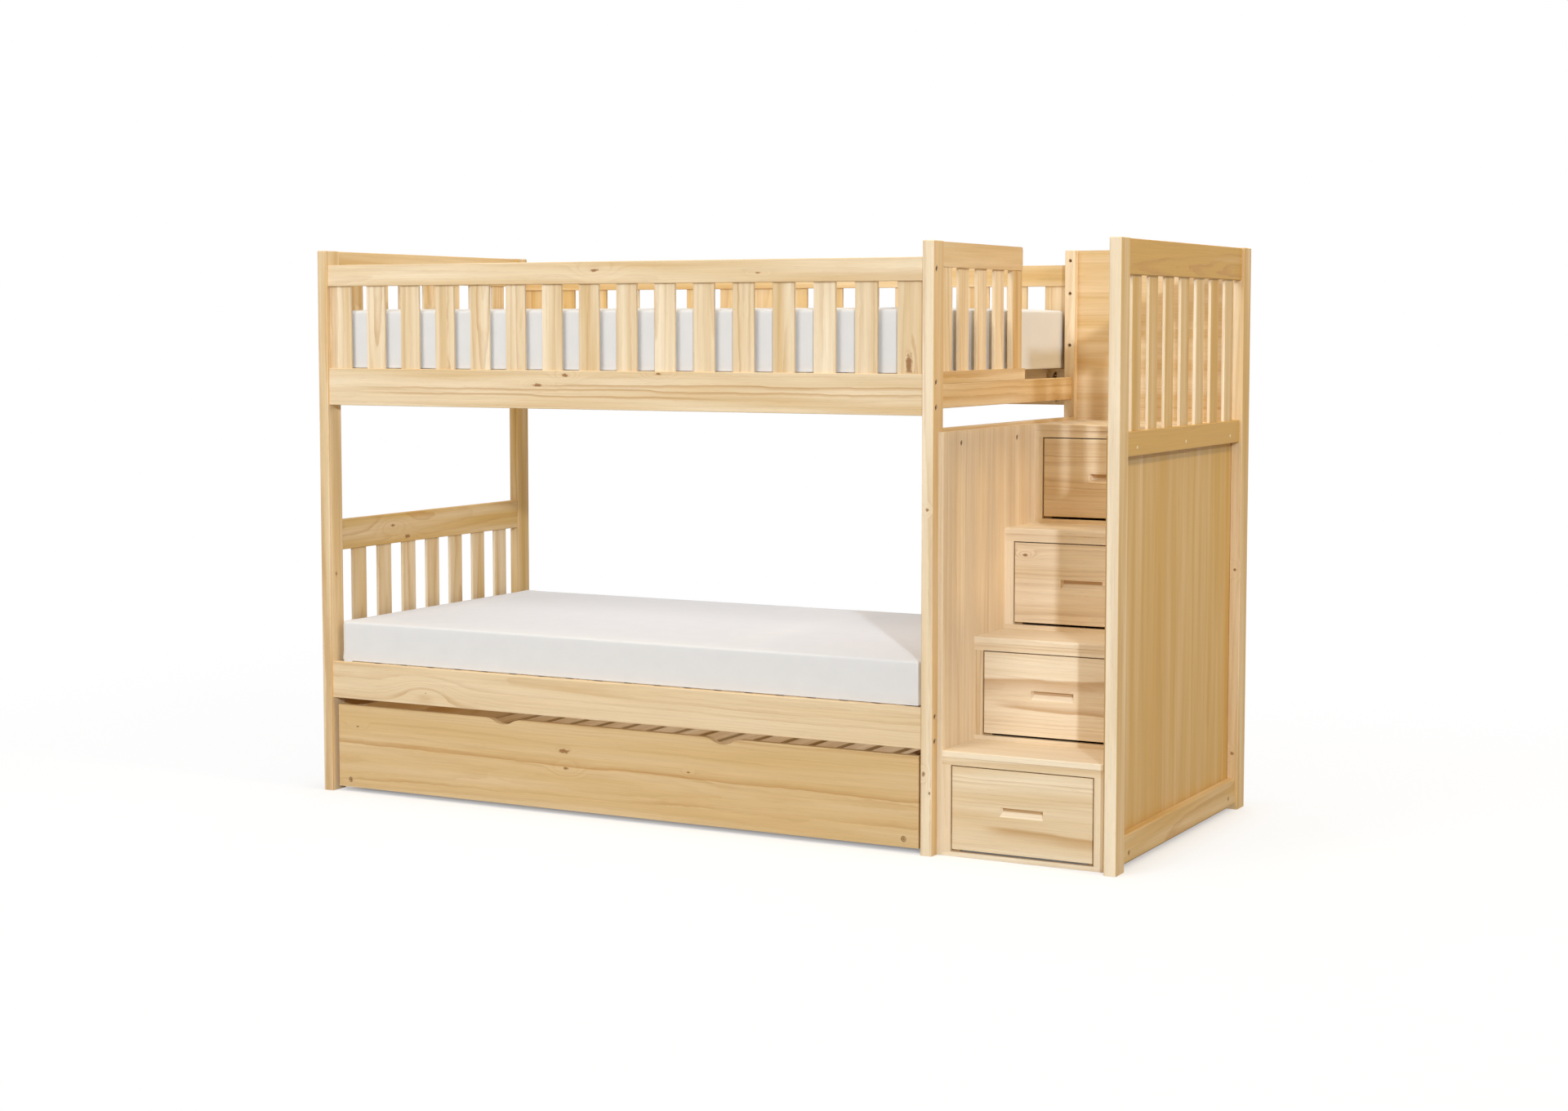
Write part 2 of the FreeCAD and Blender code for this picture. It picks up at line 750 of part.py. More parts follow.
def stair_screw(head_start, axis, end_gap):
    """Screw with a round head; head_start is the seat under the head."""
    seat = FreeCAD.Vector(*head_start)
    head = Part.makeCylinder(bolt_head_diameter / 2, bolt_head_height, seat, axis * -1)
    socket_start = seat - axis * (bolt_head_height - bolt_socket_depth)
    socket = Part.makeCylinder(bolt_socket_diameter / 2, bolt_socket_depth, socket_start, axis * -1)
    length = panel_thick + stair_rail_thick - counterbore_depth - end_gap
    shank = Part.makeCylinder(screw_diameter / 2, length, seat, axis)
    return head.cut(socket).fuse(shank).removeSplitter()


def stair_screws():
    """Screws that hold the cabinet to the frame on both sides."""
    inward = AXIS_X * -1
    tip = 2 * screw_tip_gap
    screws = [stair_screw((cabinet_left - counterbore_depth, y, screw_height), inward, tip)
              for y in screw_rows()]
    screws += [stair_screw((right_rail_end - counterbore_depth, y, foot_bolt_height), inward, tip)
               for y in foot_bolt_rows()]
    plain = stair_rail_thick + panel_thick - plug_depth - tip
    screws += [rod((right_rail_end - plug_depth, y, screw_height), inward, plain, screw_diameter)
               for y in screw_rows()]
    return screws


def rail_plugs():
    """Light wood plugs over the screws in the right middle rail."""
    return [rod((right_rail_end + plug_proud, y, screw_height), AXIS_X * -1, plug_depth + plug_proud,
                plug_diameter) for y in screw_rows()]


def step_front(step):
    """Front plane of one step, counted from zero."""
    return stair_front + step * step_run


def step_base(step):
    """Height that the face frame of one step stands on."""
    return step * step_rise


def tread(step):
    """Board of one step, running back under the frame of the next step."""
    last = step == step_count - 1
    back = back_panel_front if last else step_front(step + 1) + frame_thick
    top = step_base(step) + step_rise
    board = box(cabinet_left, cabinet_right, step_front(step) - tread_nosing, back, top - tread_thick, top)
    front = [edge for edge in edges_along(board, AXIS_X)
             if edge.BoundBox.YMax < step_front(step) and edge.BoundBox.ZMin > top - tread_thick / 2]
    return board.makeFillet(tread_round, front)


def sill_top(step):
    """Upper edge of the sill under one drawer."""
    return step_base(step) + frame_sill_height


def apron_bottom(step):
    """Lower edge of the apron over one drawer."""
    return step_base(step) + step_rise - tread_thick - apron_height


def frame_rails(step):
    """Apron over one drawer and sill under it."""
    y0 = step_front(step)
    y1 = y0 + frame_thick
    low = apron_bottom(step)
    return [
        box(cabinet_left, cabinet_right, y0, y1, low, low + apron_height),
        box(cabinet_left, cabinet_right, y0, y1, step_base(step), sill_top(step)),
    ]


def frame_stiles(step):
    """Stile on each side of one drawer, between the sill and the apron."""
    y0 = step_front(step)
    left = box(cabinet_left, cabinet_left + stile_width, y0, y0 + frame_thick, sill_top(step),
               apron_bottom(step))
    return [left, mirrored(left, cabinet_centre)]


def drawer_bottom_edge(step):
    """Lower edge of a drawer front."""
    return sill_top(step) + drawer_bottom_reveal


def drawer_top_edge(step):
    """Upper edge of a drawer front."""
    return apron_bottom(step) - drawer_top_reveal


def drawer_runners(step):
    """Bearer under each drawer side and guide strip beside it."""
    y0 = step_front(step) + frame_thick
    y1 = y0 + drawer_box_length
    top = drawer_bottom_edge(step) + drawer_side_lift - slide_clearance
    bearer = box(cabinet_left, cabinet_left + bearer_width, y0, y1, top - bearer_height, top)
    guide = box(cabinet_left, drawer_left - guide_clearance, y0, y1, top, top + guide_height)
    return [bearer, guide, mirrored(bearer, cabinet_centre), mirrored(guide, cabinet_centre)]


def build_stairs():
    """Panels, treads, frames and runners of the stair cabinet."""
    left = box(middle_outer, cabinet_left, stair_front, back_panel_front, 0, stair_top)
    right = box(cabinet_right, stair_right, stair_front, back_panel_front, 0, stair_top)
    back_end = back_panel_front + panel_thick
    back = box(middle_outer, stair_right, back_panel_front, back_end, 0, top_rail_top)
    keep("stair_left_panel", [left.cut(left_screw_holes())])
    keep("stair_right_panel", [right.cut(right_screw_holes() + foot_bolt_holes())])
    keep("stair_back_panel", [back])
    steps = range(step_count)
    keep("stair_treads", [tread(step) for step in steps])
    keep("stair_frame_rails", [piece for step in steps for piece in frame_rails(step)])
    keep("stair_frame_stiles", [piece for step in steps for piece in frame_stiles(step)])
    keep("drawer_runners", [piece for step in steps for piece in drawer_runners(step)])


# Drawers

def handle_pocket(y0, z_middle):
    """Slot to grip: flat top, short wall at the back, sloped floor and ends."""
    half = handle_width / 2
    inner = half - handle_end_slope
    top = z_middle + handle_height / 2
    wall_bottom = top - handle_wall_height
    mouth = Part.makePolygon([FreeCAD.Vector(cabinet_centre + x, y0, z) for x, z in (
        (-half, top - handle_height), (half, top - handle_height), (half, top), (-half, top),
        (-half, top - handle_height))])
    wall = Part.makePolygon([FreeCAD.Vector(cabinet_centre + x, y0 + handle_depth, z) for x, z in (
        (-inner, wall_bottom), (inner, wall_bottom), (inner, top), (-inner, top), (-inner, wall_bottom))])
    return Part.makeLoft([mouth, wall], True, True)


def drawer_front(step):
    """Inset front with rounded edges and a grip slot at its centre."""
    y0 = step_front(step)
    z0 = drawer_bottom_edge(step)
    z1 = drawer_top_edge(step)
    board = box(drawer_left, drawer_right, y0, y0 + drawer_front_thick, z0, z1)
    face = [edge for edge in board.Edges if edge.BoundBox.YMax < y0 + drawer_front_thick / 2]
    return board.makeFillet(drawer_front_round, face).cut(handle_pocket(y0, (z0 + z1) / 2))


def drawer_box(step):
    """Two sides, a back between them and a bottom set in between all four."""
    y0 = step_front(step) + drawer_front_thick
    y1 = y0 + drawer_box_length
    z0 = drawer_bottom_edge(step) + drawer_side_lift
    z1 = drawer_top_edge(step) - drawer_side_drop
    inner_left = drawer_left + drawer_side_thick
    inner_right = drawer_right - drawer_side_thick
    floor = z0 + drawer_bottom_lift
    return [
        box(drawer_left, inner_left, y0, y1, z0, z1),
        box(inner_right, drawer_right, y0, y1, z0, z1),
        box(inner_left, inner_right, y1 - drawer_side_thick, y1, z0, z1),
        box(inner_left, inner_right, y0, y1 - drawer_side_thick, floor, floor + drawer_bottom_thick),
    ]


def build_drawers():
    """One drawer in each step, numbered from the lowest."""
    for step in range(step_count):
        keep("drawer_front_" + str(step + 1), [drawer_front(step)])
        keep("drawer_box_" + str(step + 1), drawer_box(step))


# Trundle

def scoop(x_middle):
    """Finger scoop in the top edge: a hollow between two rounded shoulders."""
    half = scoop_width / 2
    top = trundle_front_top
    low = top - scoop_depth
    mid_height = top - scoop_depth / 2
    sagitta = scoop_depth / 8
    def at(x, z):
        return FreeCAD.Vector(x_middle + x, trundle_front_recess, z)
    edges = [
        Part.Arc(at(-half, top), at(-half * 3 / 4, top - sagitta), at(-half / 2, mid_height)).toShape(),
        Part.Arc(at(-half / 2, mid_height), at(0, low), at(half / 2, mid_height)).toShape(),
        Part.Arc(at(half / 2, mid_height), at(half * 3 / 4, top - sagitta), at(half, top)).toShape(),
        Part.makeLine(at(half, top), at(-half, top)),
    ]
    return Part.Face(Part.Wire(edges)).extrude(AXIS_Y * trundle_board_thick)


def trundle_bolt_places():
    """Positions of the two front bolts along the length."""
    return [trundle_left + trundle_side_inset, trundle_right - trundle_side_inset]


def trundle_bolt_holes():
    """Recessed holes through the front board into the ends of the side boards."""
    length = trundle_board_thick + trundle_bolt_reach + bolt_hole_gap
    return [recessed_hole((x, trundle_front_recess, trundle_bolt_height), AXIS_Y, length,
                          bolt_diameter + bolt_hole_gap) for x in trundle_bolt_places()]


def trundle_front():
    """Front board with finger scoops and bolt holes."""
    board = box(trundle_left, trundle_right, trundle_front_recess, trundle_front_back, trundle_front_bottom,
                trundle_front_top)
    cuts = [scoop(bay_centre - scoop_offset), scoop(bay_centre + scoop_offset)]
    return eased(board, AXIS_Z, rail_round).cut(cuts + trundle_bolt_holes())


def axle_holes():
    """Holes for the axle bolts through both side boards."""
    bore = axle_diameter + 2 * axle_running_gap
    return [rod((0, y, wheel_radius), AXIS_X, bay_right, bore) for y in wheel_rows]


def trundle_frame():
    """High side boards, low back board, two ledgers and a middle beam."""
    low = trundle_frame_bottom
    side = box(trundle_left_outer, trundle_left_inner, trundle_front_back, trundle_back_start, low,
               trundle_side_top).cut(trundle_bolt_holes() + axle_holes())
    back = box(trundle_left_outer, trundle_right_outer, trundle_back_start, trundle_back_end, low,
               trundle_frame_top)
    ledger_bottom = trundle_ledger_top - trundle_ledger_height
    front_ledger = box(trundle_left_inner, trundle_right_inner, trundle_front_back,
                       trundle_front_back + ledger_width, ledger_bottom, trundle_ledger_top)
    back_ledger = box(trundle_left_inner, trundle_right_inner, trundle_back_start - ledger_width,
                      trundle_back_start, ledger_bottom, trundle_ledger_top)
    beam_start = (trundle_front_back + trundle_back_start - trundle_board_thick) / 2
    beam = box(trundle_left_inner, trundle_right_inner, beam_start, beam_start + trundle_board_thick,
               trundle_ledger_top - trundle_beam_height, trundle_ledger_top)
    return [side, mirrored(side, bay_centre), back, front_ledger, back_ledger, beam]


def trundle_slats():
    """Deck slats from front to back, on the ledgers and the beam."""
    first = trundle_left_inner + trundle_slat_margin
    last = trundle_right_inner - trundle_slat_margin
    starts = spread_to_ends(first, last, trundle_slat_count, deck_slat_width)
    y0 = trundle_front_back + deck_slat_clearance
    y1 = trundle_back_start - deck_slat_clearance
    return [eased(box(x0, x0 + deck_slat_width, y0, y1, trundle_ledger_top, trundle_frame_top), AXIS_Y,
                  slat_round) for x0 in starts]


wheel_left = trundle_left_inner + wheel_board_gap
hub_left = trundle_left_inner + wheel_hub_play
hub_right = wheel_left + wheel_width + wheel_board_gap - wheel_hub_play


def axle(y):
    """Axle bolt of a left wheel: nut outside the side board, head inside the wheel."""
    nut = rod((trundle_left_outer - axle_nut_height, y, wheel_radius), AXIS_X, axle_nut_height,
              axle_head_diameter)
    head_start = hub_right + wheel_hub_play
    shank_length = head_start - trundle_left_outer
    shank = rod((trundle_left_outer, y, wheel_radius), AXIS_X, shank_length, axle_diameter)
    head = rod((head_start, y, wheel_radius), AXIS_X, axle_head_height, axle_head_diameter)
    return nut.fuse([shank, head]).removeSplitter()


def wheel(y):
    """Left wheel: rounded tread, raised hub and a bore that runs on the axle."""
    tread_disc = rod((wheel_left, y, wheel_radius), AXIS_X, wheel_width, 2 * wheel_radius)
    rims = [edge for edge in tread_disc.Edges if len(edge.Vertexes) == 1]
    disc = tread_disc.makeFillet(wheel_round, rims)
    hub_length = hub_right - hub_left
    hub = rod((hub_left, y, wheel_radius), AXIS_X, hub_length, wheel_hub_diameter)
    bore_diameter = axle_diameter + 2 * axle_running_gap
    bore = rod((hub_left, y, wheel_radius), AXIS_X, hub_length, bore_diameter)
    return disc.fuse(hub).cut(bore)


def trundle_hardware():
    """Front bolts and axle bolts."""
    shank = trundle_board_thick - counterbore_depth + trundle_bolt_reach
    bolts = [socket_bolt((x, trundle_front_recess + counterbore_depth, trundle_bolt_height), AXIS_Y, shank)
             for x in trundle_bolt_places()]
    axles = [axle(y) for y in wheel_rows]
    return bolts + axles + [mirrored(pin, bay_centre) for pin in axles]


def build_trundle():
    """Roll-out bed under the lower bunk."""
    keep("trundle_front", [trundle_front()])
    keep("trundle_frame", trundle_frame())
    keep("trundle_slats", trundle_slats())
    keep("trundle_hardware", trundle_hardware())
    for name, y in zip(("front", "back"), wheel_rows):
        left = wheel(y)
        keep("trundle_" + name + "_wheels", [left, mirrored(left, bay_centre)])


def build_fasteners():
    """Rail bolts and nuts, stair screws, plugs and dowels."""
    keep("rail_bolts", four_corners([rail_bolt(height) for height in post_bolts]))
    keep("rail_nuts", rail_nuts())
    keep("stair_screws", stair_screws())
    keep("rail_plugs", rail_plugs())
    end_dowels = front_dowels(end_frame_spots())
    keep("frame_dowels", end_dowels + [flipped_back(d) for d in end_dowels] + front_dowels(guard_spots()))


os.makedirs("parts", exist_ok=True)
build_posts()
build_sides()
build_left_end()
build_middle_end()
build_right_end()
build_entry_guard()
build_beds()
build_stairs()
build_drawers()
build_trundle()
build_fasteners()
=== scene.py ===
"""Bunk bed with drawer stairs and a trundle: pine grain, mattress covers, hardware and a studio stage."""
import math

import bpy
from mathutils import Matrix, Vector


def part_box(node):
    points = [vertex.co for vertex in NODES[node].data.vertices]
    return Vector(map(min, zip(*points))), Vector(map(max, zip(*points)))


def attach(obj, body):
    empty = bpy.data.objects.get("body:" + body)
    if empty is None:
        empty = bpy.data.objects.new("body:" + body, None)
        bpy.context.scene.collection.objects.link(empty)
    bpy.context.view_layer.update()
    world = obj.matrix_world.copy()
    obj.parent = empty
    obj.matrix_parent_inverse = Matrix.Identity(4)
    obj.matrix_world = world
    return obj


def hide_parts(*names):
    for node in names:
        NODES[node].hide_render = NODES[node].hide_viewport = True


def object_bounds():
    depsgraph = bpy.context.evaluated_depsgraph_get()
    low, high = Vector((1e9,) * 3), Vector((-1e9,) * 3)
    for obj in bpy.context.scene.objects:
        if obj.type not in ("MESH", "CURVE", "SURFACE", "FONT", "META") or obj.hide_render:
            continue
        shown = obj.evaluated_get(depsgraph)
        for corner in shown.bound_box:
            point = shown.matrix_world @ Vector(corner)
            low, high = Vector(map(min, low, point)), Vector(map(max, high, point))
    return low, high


bl_info = {
    "name": "Pine bunk bed",
    "version": (1, 0, 0),
    "blender": (4, 5, 0),
    "location": "3D View > Sidebar > Bunk Bed",
    "description": "Finishes the boards, mattresses and hardware of a pine bunk bed and sets its stage",
    "category": "Object",
}

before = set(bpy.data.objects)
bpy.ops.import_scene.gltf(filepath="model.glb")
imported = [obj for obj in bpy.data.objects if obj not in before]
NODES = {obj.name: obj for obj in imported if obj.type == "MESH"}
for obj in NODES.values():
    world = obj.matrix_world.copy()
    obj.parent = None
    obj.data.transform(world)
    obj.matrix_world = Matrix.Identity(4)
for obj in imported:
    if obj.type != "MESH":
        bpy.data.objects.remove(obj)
CAD_LOW, CAD_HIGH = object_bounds()

MM = 0.001
LENGTH, DEPTH, HEIGHT = 0, 1, 2

# Axis along the grain, across the broad face and through the board
GRAIN = {
    "long board": (LENGTH, HEIGHT, DEPTH),
    "tread": (LENGTH, DEPTH, HEIGHT),
    "end rail": (DEPTH, HEIGHT, LENGTH),
    "deck slat": (DEPTH, LENGTH, HEIGHT),
    "front upright": (HEIGHT, LENGTH, DEPTH),
    "end upright": (HEIGHT, DEPTH, LENGTH),
}

# How a board was sawn: ring spacing, distance of the pith behind the face and waviness in millimetres,
# lean of the pith along the board, how far the ring lines darken, and how far the tone drifts
FIGURE = {
    "quarter sawn": (7.0, 260.0, 4.0, 0.008, 0.60, 1.0),
    "rift sawn": (9.0, 120.0, 7.0, 0.020, 0.55, 1.0),
    "flat sawn": (11.0, 60.0, 10.0, 0.035, 0.58, 1.0),
    "cathedral": (13.0, 34.0, 13.0, 0.050, 0.58, 1.0),
    "panel": (8.0, 190.0, 5.0, 0.010, 0.28, 0.55),
    "calm": (8.0, 150.0, 9.0, 0.022, 0.42, 0.35),
    "calm cathedral": (13.0, 34.0, 13.0, 0.050, 0.46, 0.40),
    "drawer": (11.0, 60.0, 10.0, 0.035, 0.37, 0.8),
}
# Cell of a single board in metres, larger than any board
ROOM = 10.0
GRAIN_INPUTS = ("Along", "Across", "Through")

# Half sizes of the grip slots and depth where their upright wall begins, in millimetres, and how far the
# slope is moved towards sapwood: a painted highlight for the light that falls on the slope
SLOT_HALF = Vector((62, 1000, 14))
SLOT_DEPTH = 12.6
SLOT_PAINTED_LIGHT = -0.9

# Boards whose +X side is painted darker, as painted shade for the weaker light on that side, how much darker
# it is painted, and the depth in millimetres over which this fades
SHADED_SIDE = {"front_right_post": 0.70, "front_middle_post": 0.40, "back_right_post": 0.3,
              "right_end_slats": 0.72, "entry_guard_uprights": 0.4, "left_end_slats": 0.35}
SHADED_SIDE_FADE = 1.5

# Boards that are mostly hidden are left raw
RAW_BOARDS = ("upper_deck_slats", "lower_deck_slats", "deck_ledgers", "drawer_runners", "trundle_frame",
              "trundle_slats", "drawer_box_1", "drawer_box_2", "drawer_box_3", "drawer_box_4")

# Knots that show: middle and half sizes of the flame in millimetres, and share of the dark heart
KNOTS = {
    "front_guard_board": [((-296, -525, 1561), (95, 60, 34), 0.13),
                          ((227, -525, 1549), (45, 30, 12), 0.18)],
    "front_upper_rail": [((-491, -525, 1236), (60, 40, 17), 0.30), ((-396, -525, 1265), (50, 40, 20), 0.25),
                         ((-89, -525, 1272), (60, 40, 24), 0.16)],
    "front_guard_slats": [((677, -519, 1305), (16, 30, 48), 0.60)],
    "left_lower_top_rail": [((-1241, -215, 784), (40, 120, 40), 0.09),
                            ((-1241, -144, 745), (40, 60, 26), 0.24)],
    "front_left_post": [((-1238, -504, 658), (30, 12, 26), 0.32)],
    "front_middle_post": [((738, -533, 922), (15, 30, 16), 0.30), ((731, -533, 220), (15, 30, 24), 0.30),
                          ((748, -533, 169), (8, 20, 10), 0.45)],
    "back_right_post": [((1255, 469, 701), (22, 30, 30), 0.22), ((1253, 469, 164), (22, 30, 26), 0.24)],
    "trundle_front": [((-1155, -517, 200), (52, 40, 20), 0.12), ((-416, -517, 185), (40, 30, 13), 0.50),
                      ((-408, -517, 136), (60, 40, 26), 0.16), ((0, -517, 159), (22, 20, 9), 0.30)],
    "front_lower_rail": [((-896, -525, 320), (150, 80, 58), 0.02)],
    "drawer_front_3": [((829, -81, 770), (45, 30, 18), 0.22)],
}

# Resin streaks along the grain: middle, side that is soft, slope, then sharp edge, soft side, half length
# and wave in millimetres
STREAKS = {
    "front_upper_rail": [((250, -525, 1240), -1, -0.004, 2, 9, 900, 5),
                         ((-100, -525, 1224), -1, 0.002, 2, 8, 1150, 6),
                         ((-500, -525, 1208), -1, 0.003, 2, 7, 700, 5)],
    "trundle_front": [((-260, -517, 143), 1, -0.006, 3, 15, 1700, 6)],
    "drawer_front_1": [((1100, -499, 80), -1, 0.02, 8, 26, 230, 5)],
    "drawer_front_2": [((975, -290, 452), -1, -0.05, 8, 48, 600, 6),
                       ((1060, -290, 372), 1, -0.04, 6, 22, 260, 5)],
}

# Points of a cover that differ by less than this in height count as level
LEVEL = 1 * MM
# Frames of cloth motion in which a cover swells
SWELL_FRAMES = 20

# Side of the floor, height that the lamps aim at and distance of the key lamp, in metres
FLOOR_SIZE = 60.0
AIM_HEIGHT = 0.8
KEY_DISTANCE = 8.0

# Camera, worked out from the corners of the posts: frame, focal length and row of the optical axis in pixels,
# then place in metres and direction
FRAME_WIDTH, FRAME_HEIGHT = 1920, 1361
FOCAL_LENGTH = 3022.5
AXIS_ROW = 624.16
CAMERA_PLACE = (3.4552, -6.4175, 1.4046)
CAMERA_AZIMUTH, CAMERA_PITCH = math.radians(28.113), math.radians(4.251)
SENSOR_WIDTH = 36.0


def linear(code):
    """Linear colour of an sRGB hex value."""
    channels = [int(code[i:i + 2], 16) / 255 for i in (1, 3, 5)]
    return [c / 12.92 if c <= 0.04045 else ((c + 0.055) / 1.055) ** 2.4 for c in channels]


def set_inputs(tree, node, inputs):
    """Give a node its fixed values and links."""
    for key, value in inputs.items():
        if isinstance(value, bpy.types.Node):
            value = value.outputs[0]
        if isinstance(value, bpy.types.NodeSocket):
            tree.links.new(value, node.inputs[key])
        else:
            node.inputs[key].default_value = value


def add_node(tree, kind, inputs=None, **settings):
    """Add one node with its settings, fixed values and links."""
    node = tree.nodes.new(kind if kind.startswith("NodeGroup") else "ShaderNode" + kind)
    for key, value in settings.items():
        setattr(node, key, value)
    set_inputs(tree, node, inputs or {})
    return node


def opaque(colour):
    """Colour with full alpha."""
    return (*colour, 1.0)


def unit(axis):
    """Unit vector of one axis."""
    return [1.0 if i == axis else 0.0 for i in range(3)]


def spread(node, axis, count, width):
    """Cells of equally spaced boards of one width: axis, start and pitch."""
    low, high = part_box(node)
    pitch = (high[axis] - low[axis] - width) / (count - 1)
    return axis, low[axis] - (pitch - width) / 2, pitch


def strips(node, axis, width):
    """Cells of glued strips that fill a panel: axis, start and pitch."""
    low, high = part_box(node)
    edge = 1 * MM
    span = high[axis] - low[axis] + 2 * edge
    return axis, low[axis] - edge, span / round(span / width)


def stacked(node, below, pitch):
    """Cells of boards one over another, from a little below the lowest: axis, start and pitch."""
    return HEIGHT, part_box(node)[0].z - below, pitch


# Properties

class PineLook(bpy.types.PropertyGroup):
    """Colours and finish of the pine boards."""
    sapwood: bpy.props.FloatVectorProperty(
        name="Sapwood", description="Palest wood between the ring lines", subtype="COLOR",
        default=linear("#F7E4C4"), min=0, max=1)
    honey: bpy.props.FloatVectorProperty(
        name="Honey wood", description="Warmer wood that drifts along a board", subtype="COLOR",
        default=linear("#CDA45F"), min=0, max=1)
    latewood: bpy.props.FloatVectorProperty(
        name="Latewood", description="Dark side of each growth ring", subtype="COLOR",
        default=linear("#B98648"), min=0, max=1)
    knot: bpy.props.FloatVectorProperty(
        name="Knot", description="Heart of a knot", subtype="COLOR",
        default=linear("#8A5526"), min=0, max=1)
    roughness: bpy.props.FloatProperty(
        name="Lacquer roughness", description="Roughness of the satin lacquer", subtype="FACTOR",
        default=0.5, min=0, max=1)
    strip: bpy.props.FloatProperty(
        name="Panel strip", description="Width of the glued strips in the stair panels", unit="LENGTH",
        default=58 * MM, min=20 * MM)


class MattressLook(bpy.types.PropertyGroup):
    """Size and cover of the mattresses."""
    cover: bpy.props.FloatVectorProperty(
        name="Cover", description="Colour of the white cover", subtype="COLOR",
        default=linear("#E4E1DC"), min=0, max=1)
    corner: bpy.props.FloatProperty(
        name="Corner radius", description="Radius of the upright corners", unit="LENGTH",
        default=22 * MM, min=5 * MM)
    edge: bpy.props.FloatProperty(
        name="Edge radius", description="Radius of the sewn top and bottom edges", unit="LENGTH",
        default=7 * MM, min=1 * MM)
    swell: bpy.props.FloatProperty(
        name="Swell", description="Furthest that the filling pushes the cover out", unit="LENGTH",
        default=5 * MM, min=0)
    grid: bpy.props.FloatProperty(
        name="Cloth grid", description="Spacing of the cloth mesh", unit="LENGTH",
        default=18 * MM, min=8 * MM)
    thread: bpy.props.FloatProperty(
        name="Thread spacing", description="Spacing of the drawn threads", unit="LENGTH",
        default=2.4 * MM, min=0.2 * MM)


class HardwareLook(bpy.types.PropertyGroup):
    """Finishes of the metal and plastic pieces."""
    steel: bpy.props.FloatVectorProperty(
        name="Steel", description="Zinc plated and yellow passivated steel", subtype="COLOR",
        default=linear("#BE9E72"), min=0, max=1)
    plastic: bpy.props.FloatVectorProperty(
        name="Wheel plastic", description="Black moulded nylon", subtype="COLOR",
        default=linear("#2B2B2D"), min=0, max=1)
    plug: bpy.props.FloatVectorProperty(
        name="Plug wood", description="Pale wood of the screw plugs", subtype="COLOR",
        default=linear("#F2DFB6"), min=0, max=1)


class StageLook(bpy.types.PropertyGroup):
    """Lamps, floor and camera."""
    key: bpy.props.FloatProperty(
        name="Key lamp", description="Strength of the sun lamp from the front right", default=1.55, min=0)
    key_azimuth: bpy.props.FloatProperty(
        name="Key azimuth", description="Direction of the key lamp from the front towards the stairs",
        subtype="ANGLE", default=math.radians(35.0))
    key_elevation: bpy.props.FloatProperty(
        name="Key elevation", description="Height of the key lamp over the horizon", subtype="ANGLE",
        default=math.radians(17.6))
    overhead: bpy.props.FloatProperty(
        name="Overhead lamp", description="Power of the soft lamp overhead", unit="POWER", default=85, min=0)
    front: bpy.props.FloatProperty(
        name="Front lamp", description="Power of the soft lamp in front", unit="POWER", default=154, min=0)
    back: bpy.props.FloatProperty(
        name="Back lamp", description="Power of the soft lamp behind", unit="POWER", default=150, min=0)
    bunk: bpy.props.FloatProperty(
        name="Bunk lamp", description="Power of the soft lamp under the upper deck", unit="POWER",
        default=4.3, min=0)
    trundle: bpy.props.FloatProperty(
        name="Trundle lamp", description="Power of the soft lamp under the lower deck", unit="POWER",
        default=2.0, min=0)
    side: bpy.props.FloatProperty(
        name="Side lamp", description="Power of the warm lamp at the stair end", unit="POWER",
        default=148, min=0)
    ambient: bpy.props.FloatProperty(
        name="Ambient", description="Strength of the even light all round", default=0.40, min=0)
    floor: bpy.props.FloatVectorProperty(
        name="Floor", description="Colour of the floor", subtype="COLOR", default=linear("#BDBBB8"),
        min=0, max=1)


# Pine

def group_tree(name, vectors, numbers, outputs):
    """Empty node group with its sockets and its input node's outputs."""
    tree = bpy.data.node_groups.new(name, "ShaderNodeTree")
    for socket in vectors:
        tree.interface.new_socket(socket, in_out="INPUT", socket_type="NodeSocketVector")
    for socket in numbers:
        tree.interface.new_socket(socket, in_out="INPUT", socket_type="NodeSocketFloat")
    for socket, kind in outputs.items():
        tree.interface.new_socket(socket, in_out="OUTPUT", socket_type="NodeSocket" + kind)
    return tree, add_node(tree, "NodeGroupInput").outputs


def group_result(tree, **results):
    """Link the results of a node group."""
    add_node(tree, "NodeGroupOutput", results)
    return tree


def knot_group():
    """Node group of one knot: its dark heart, rough over about 9 mm, and how far it bends the ring lines."""
    tree, given = group_tree("Pine knot", ("Position", "Centre", "Flame"), ("Share",),
                             {"Heart": "Float", "Swirl": "Float"})
    away = add_node(tree, "VectorMath", {0: given["Position"], 1: given["Centre"]}, operation="SUBTRACT")
    share = add_node(tree, "VectorMath", {0: away, 1: given["Flame"]}, operation="DIVIDE")
    reach = add_node(tree, "VectorMath", {0: share}, operation="LENGTH").outputs["Value"]
    uneven = add_node(tree, "TexNoise", {"Vector": given["Position"], "Scale": 110.0, "Detail": 2.0})
    rough = add_node(tree, "Math", {0: uneven, 1: 1.6, 2: 0.2}, operation="MULTIPLY_ADD")
    spread_out = add_node(tree, "Math", {0: reach, 1: rough}, operation="MULTIPLY")
    rim = add_node(tree, "Math", {0: given["Share"], 1: 1.2}, operation="MULTIPLY")
    core = add_node(tree, "Math", {0: given["Share"], 1: 0.5}, operation="MULTIPLY")
    heart = add_node(tree, "MapRange", {"Value": spread_out, "From Min": rim, "From Max": core},
                     interpolation_type="SMOOTHSTEP")
    square = add_node(tree, "Math", {0: reach, 1: 2.0}, operation="POWER")
    fall = add_node(tree, "Math", {0: square, 1: -2.2}, operation="MULTIPLY")
    swirl = add_node(tree, "Math", {0: fall}, operation="EXPONENT")
    return group_result(tree, Heart=heart, Swirl=swirl)


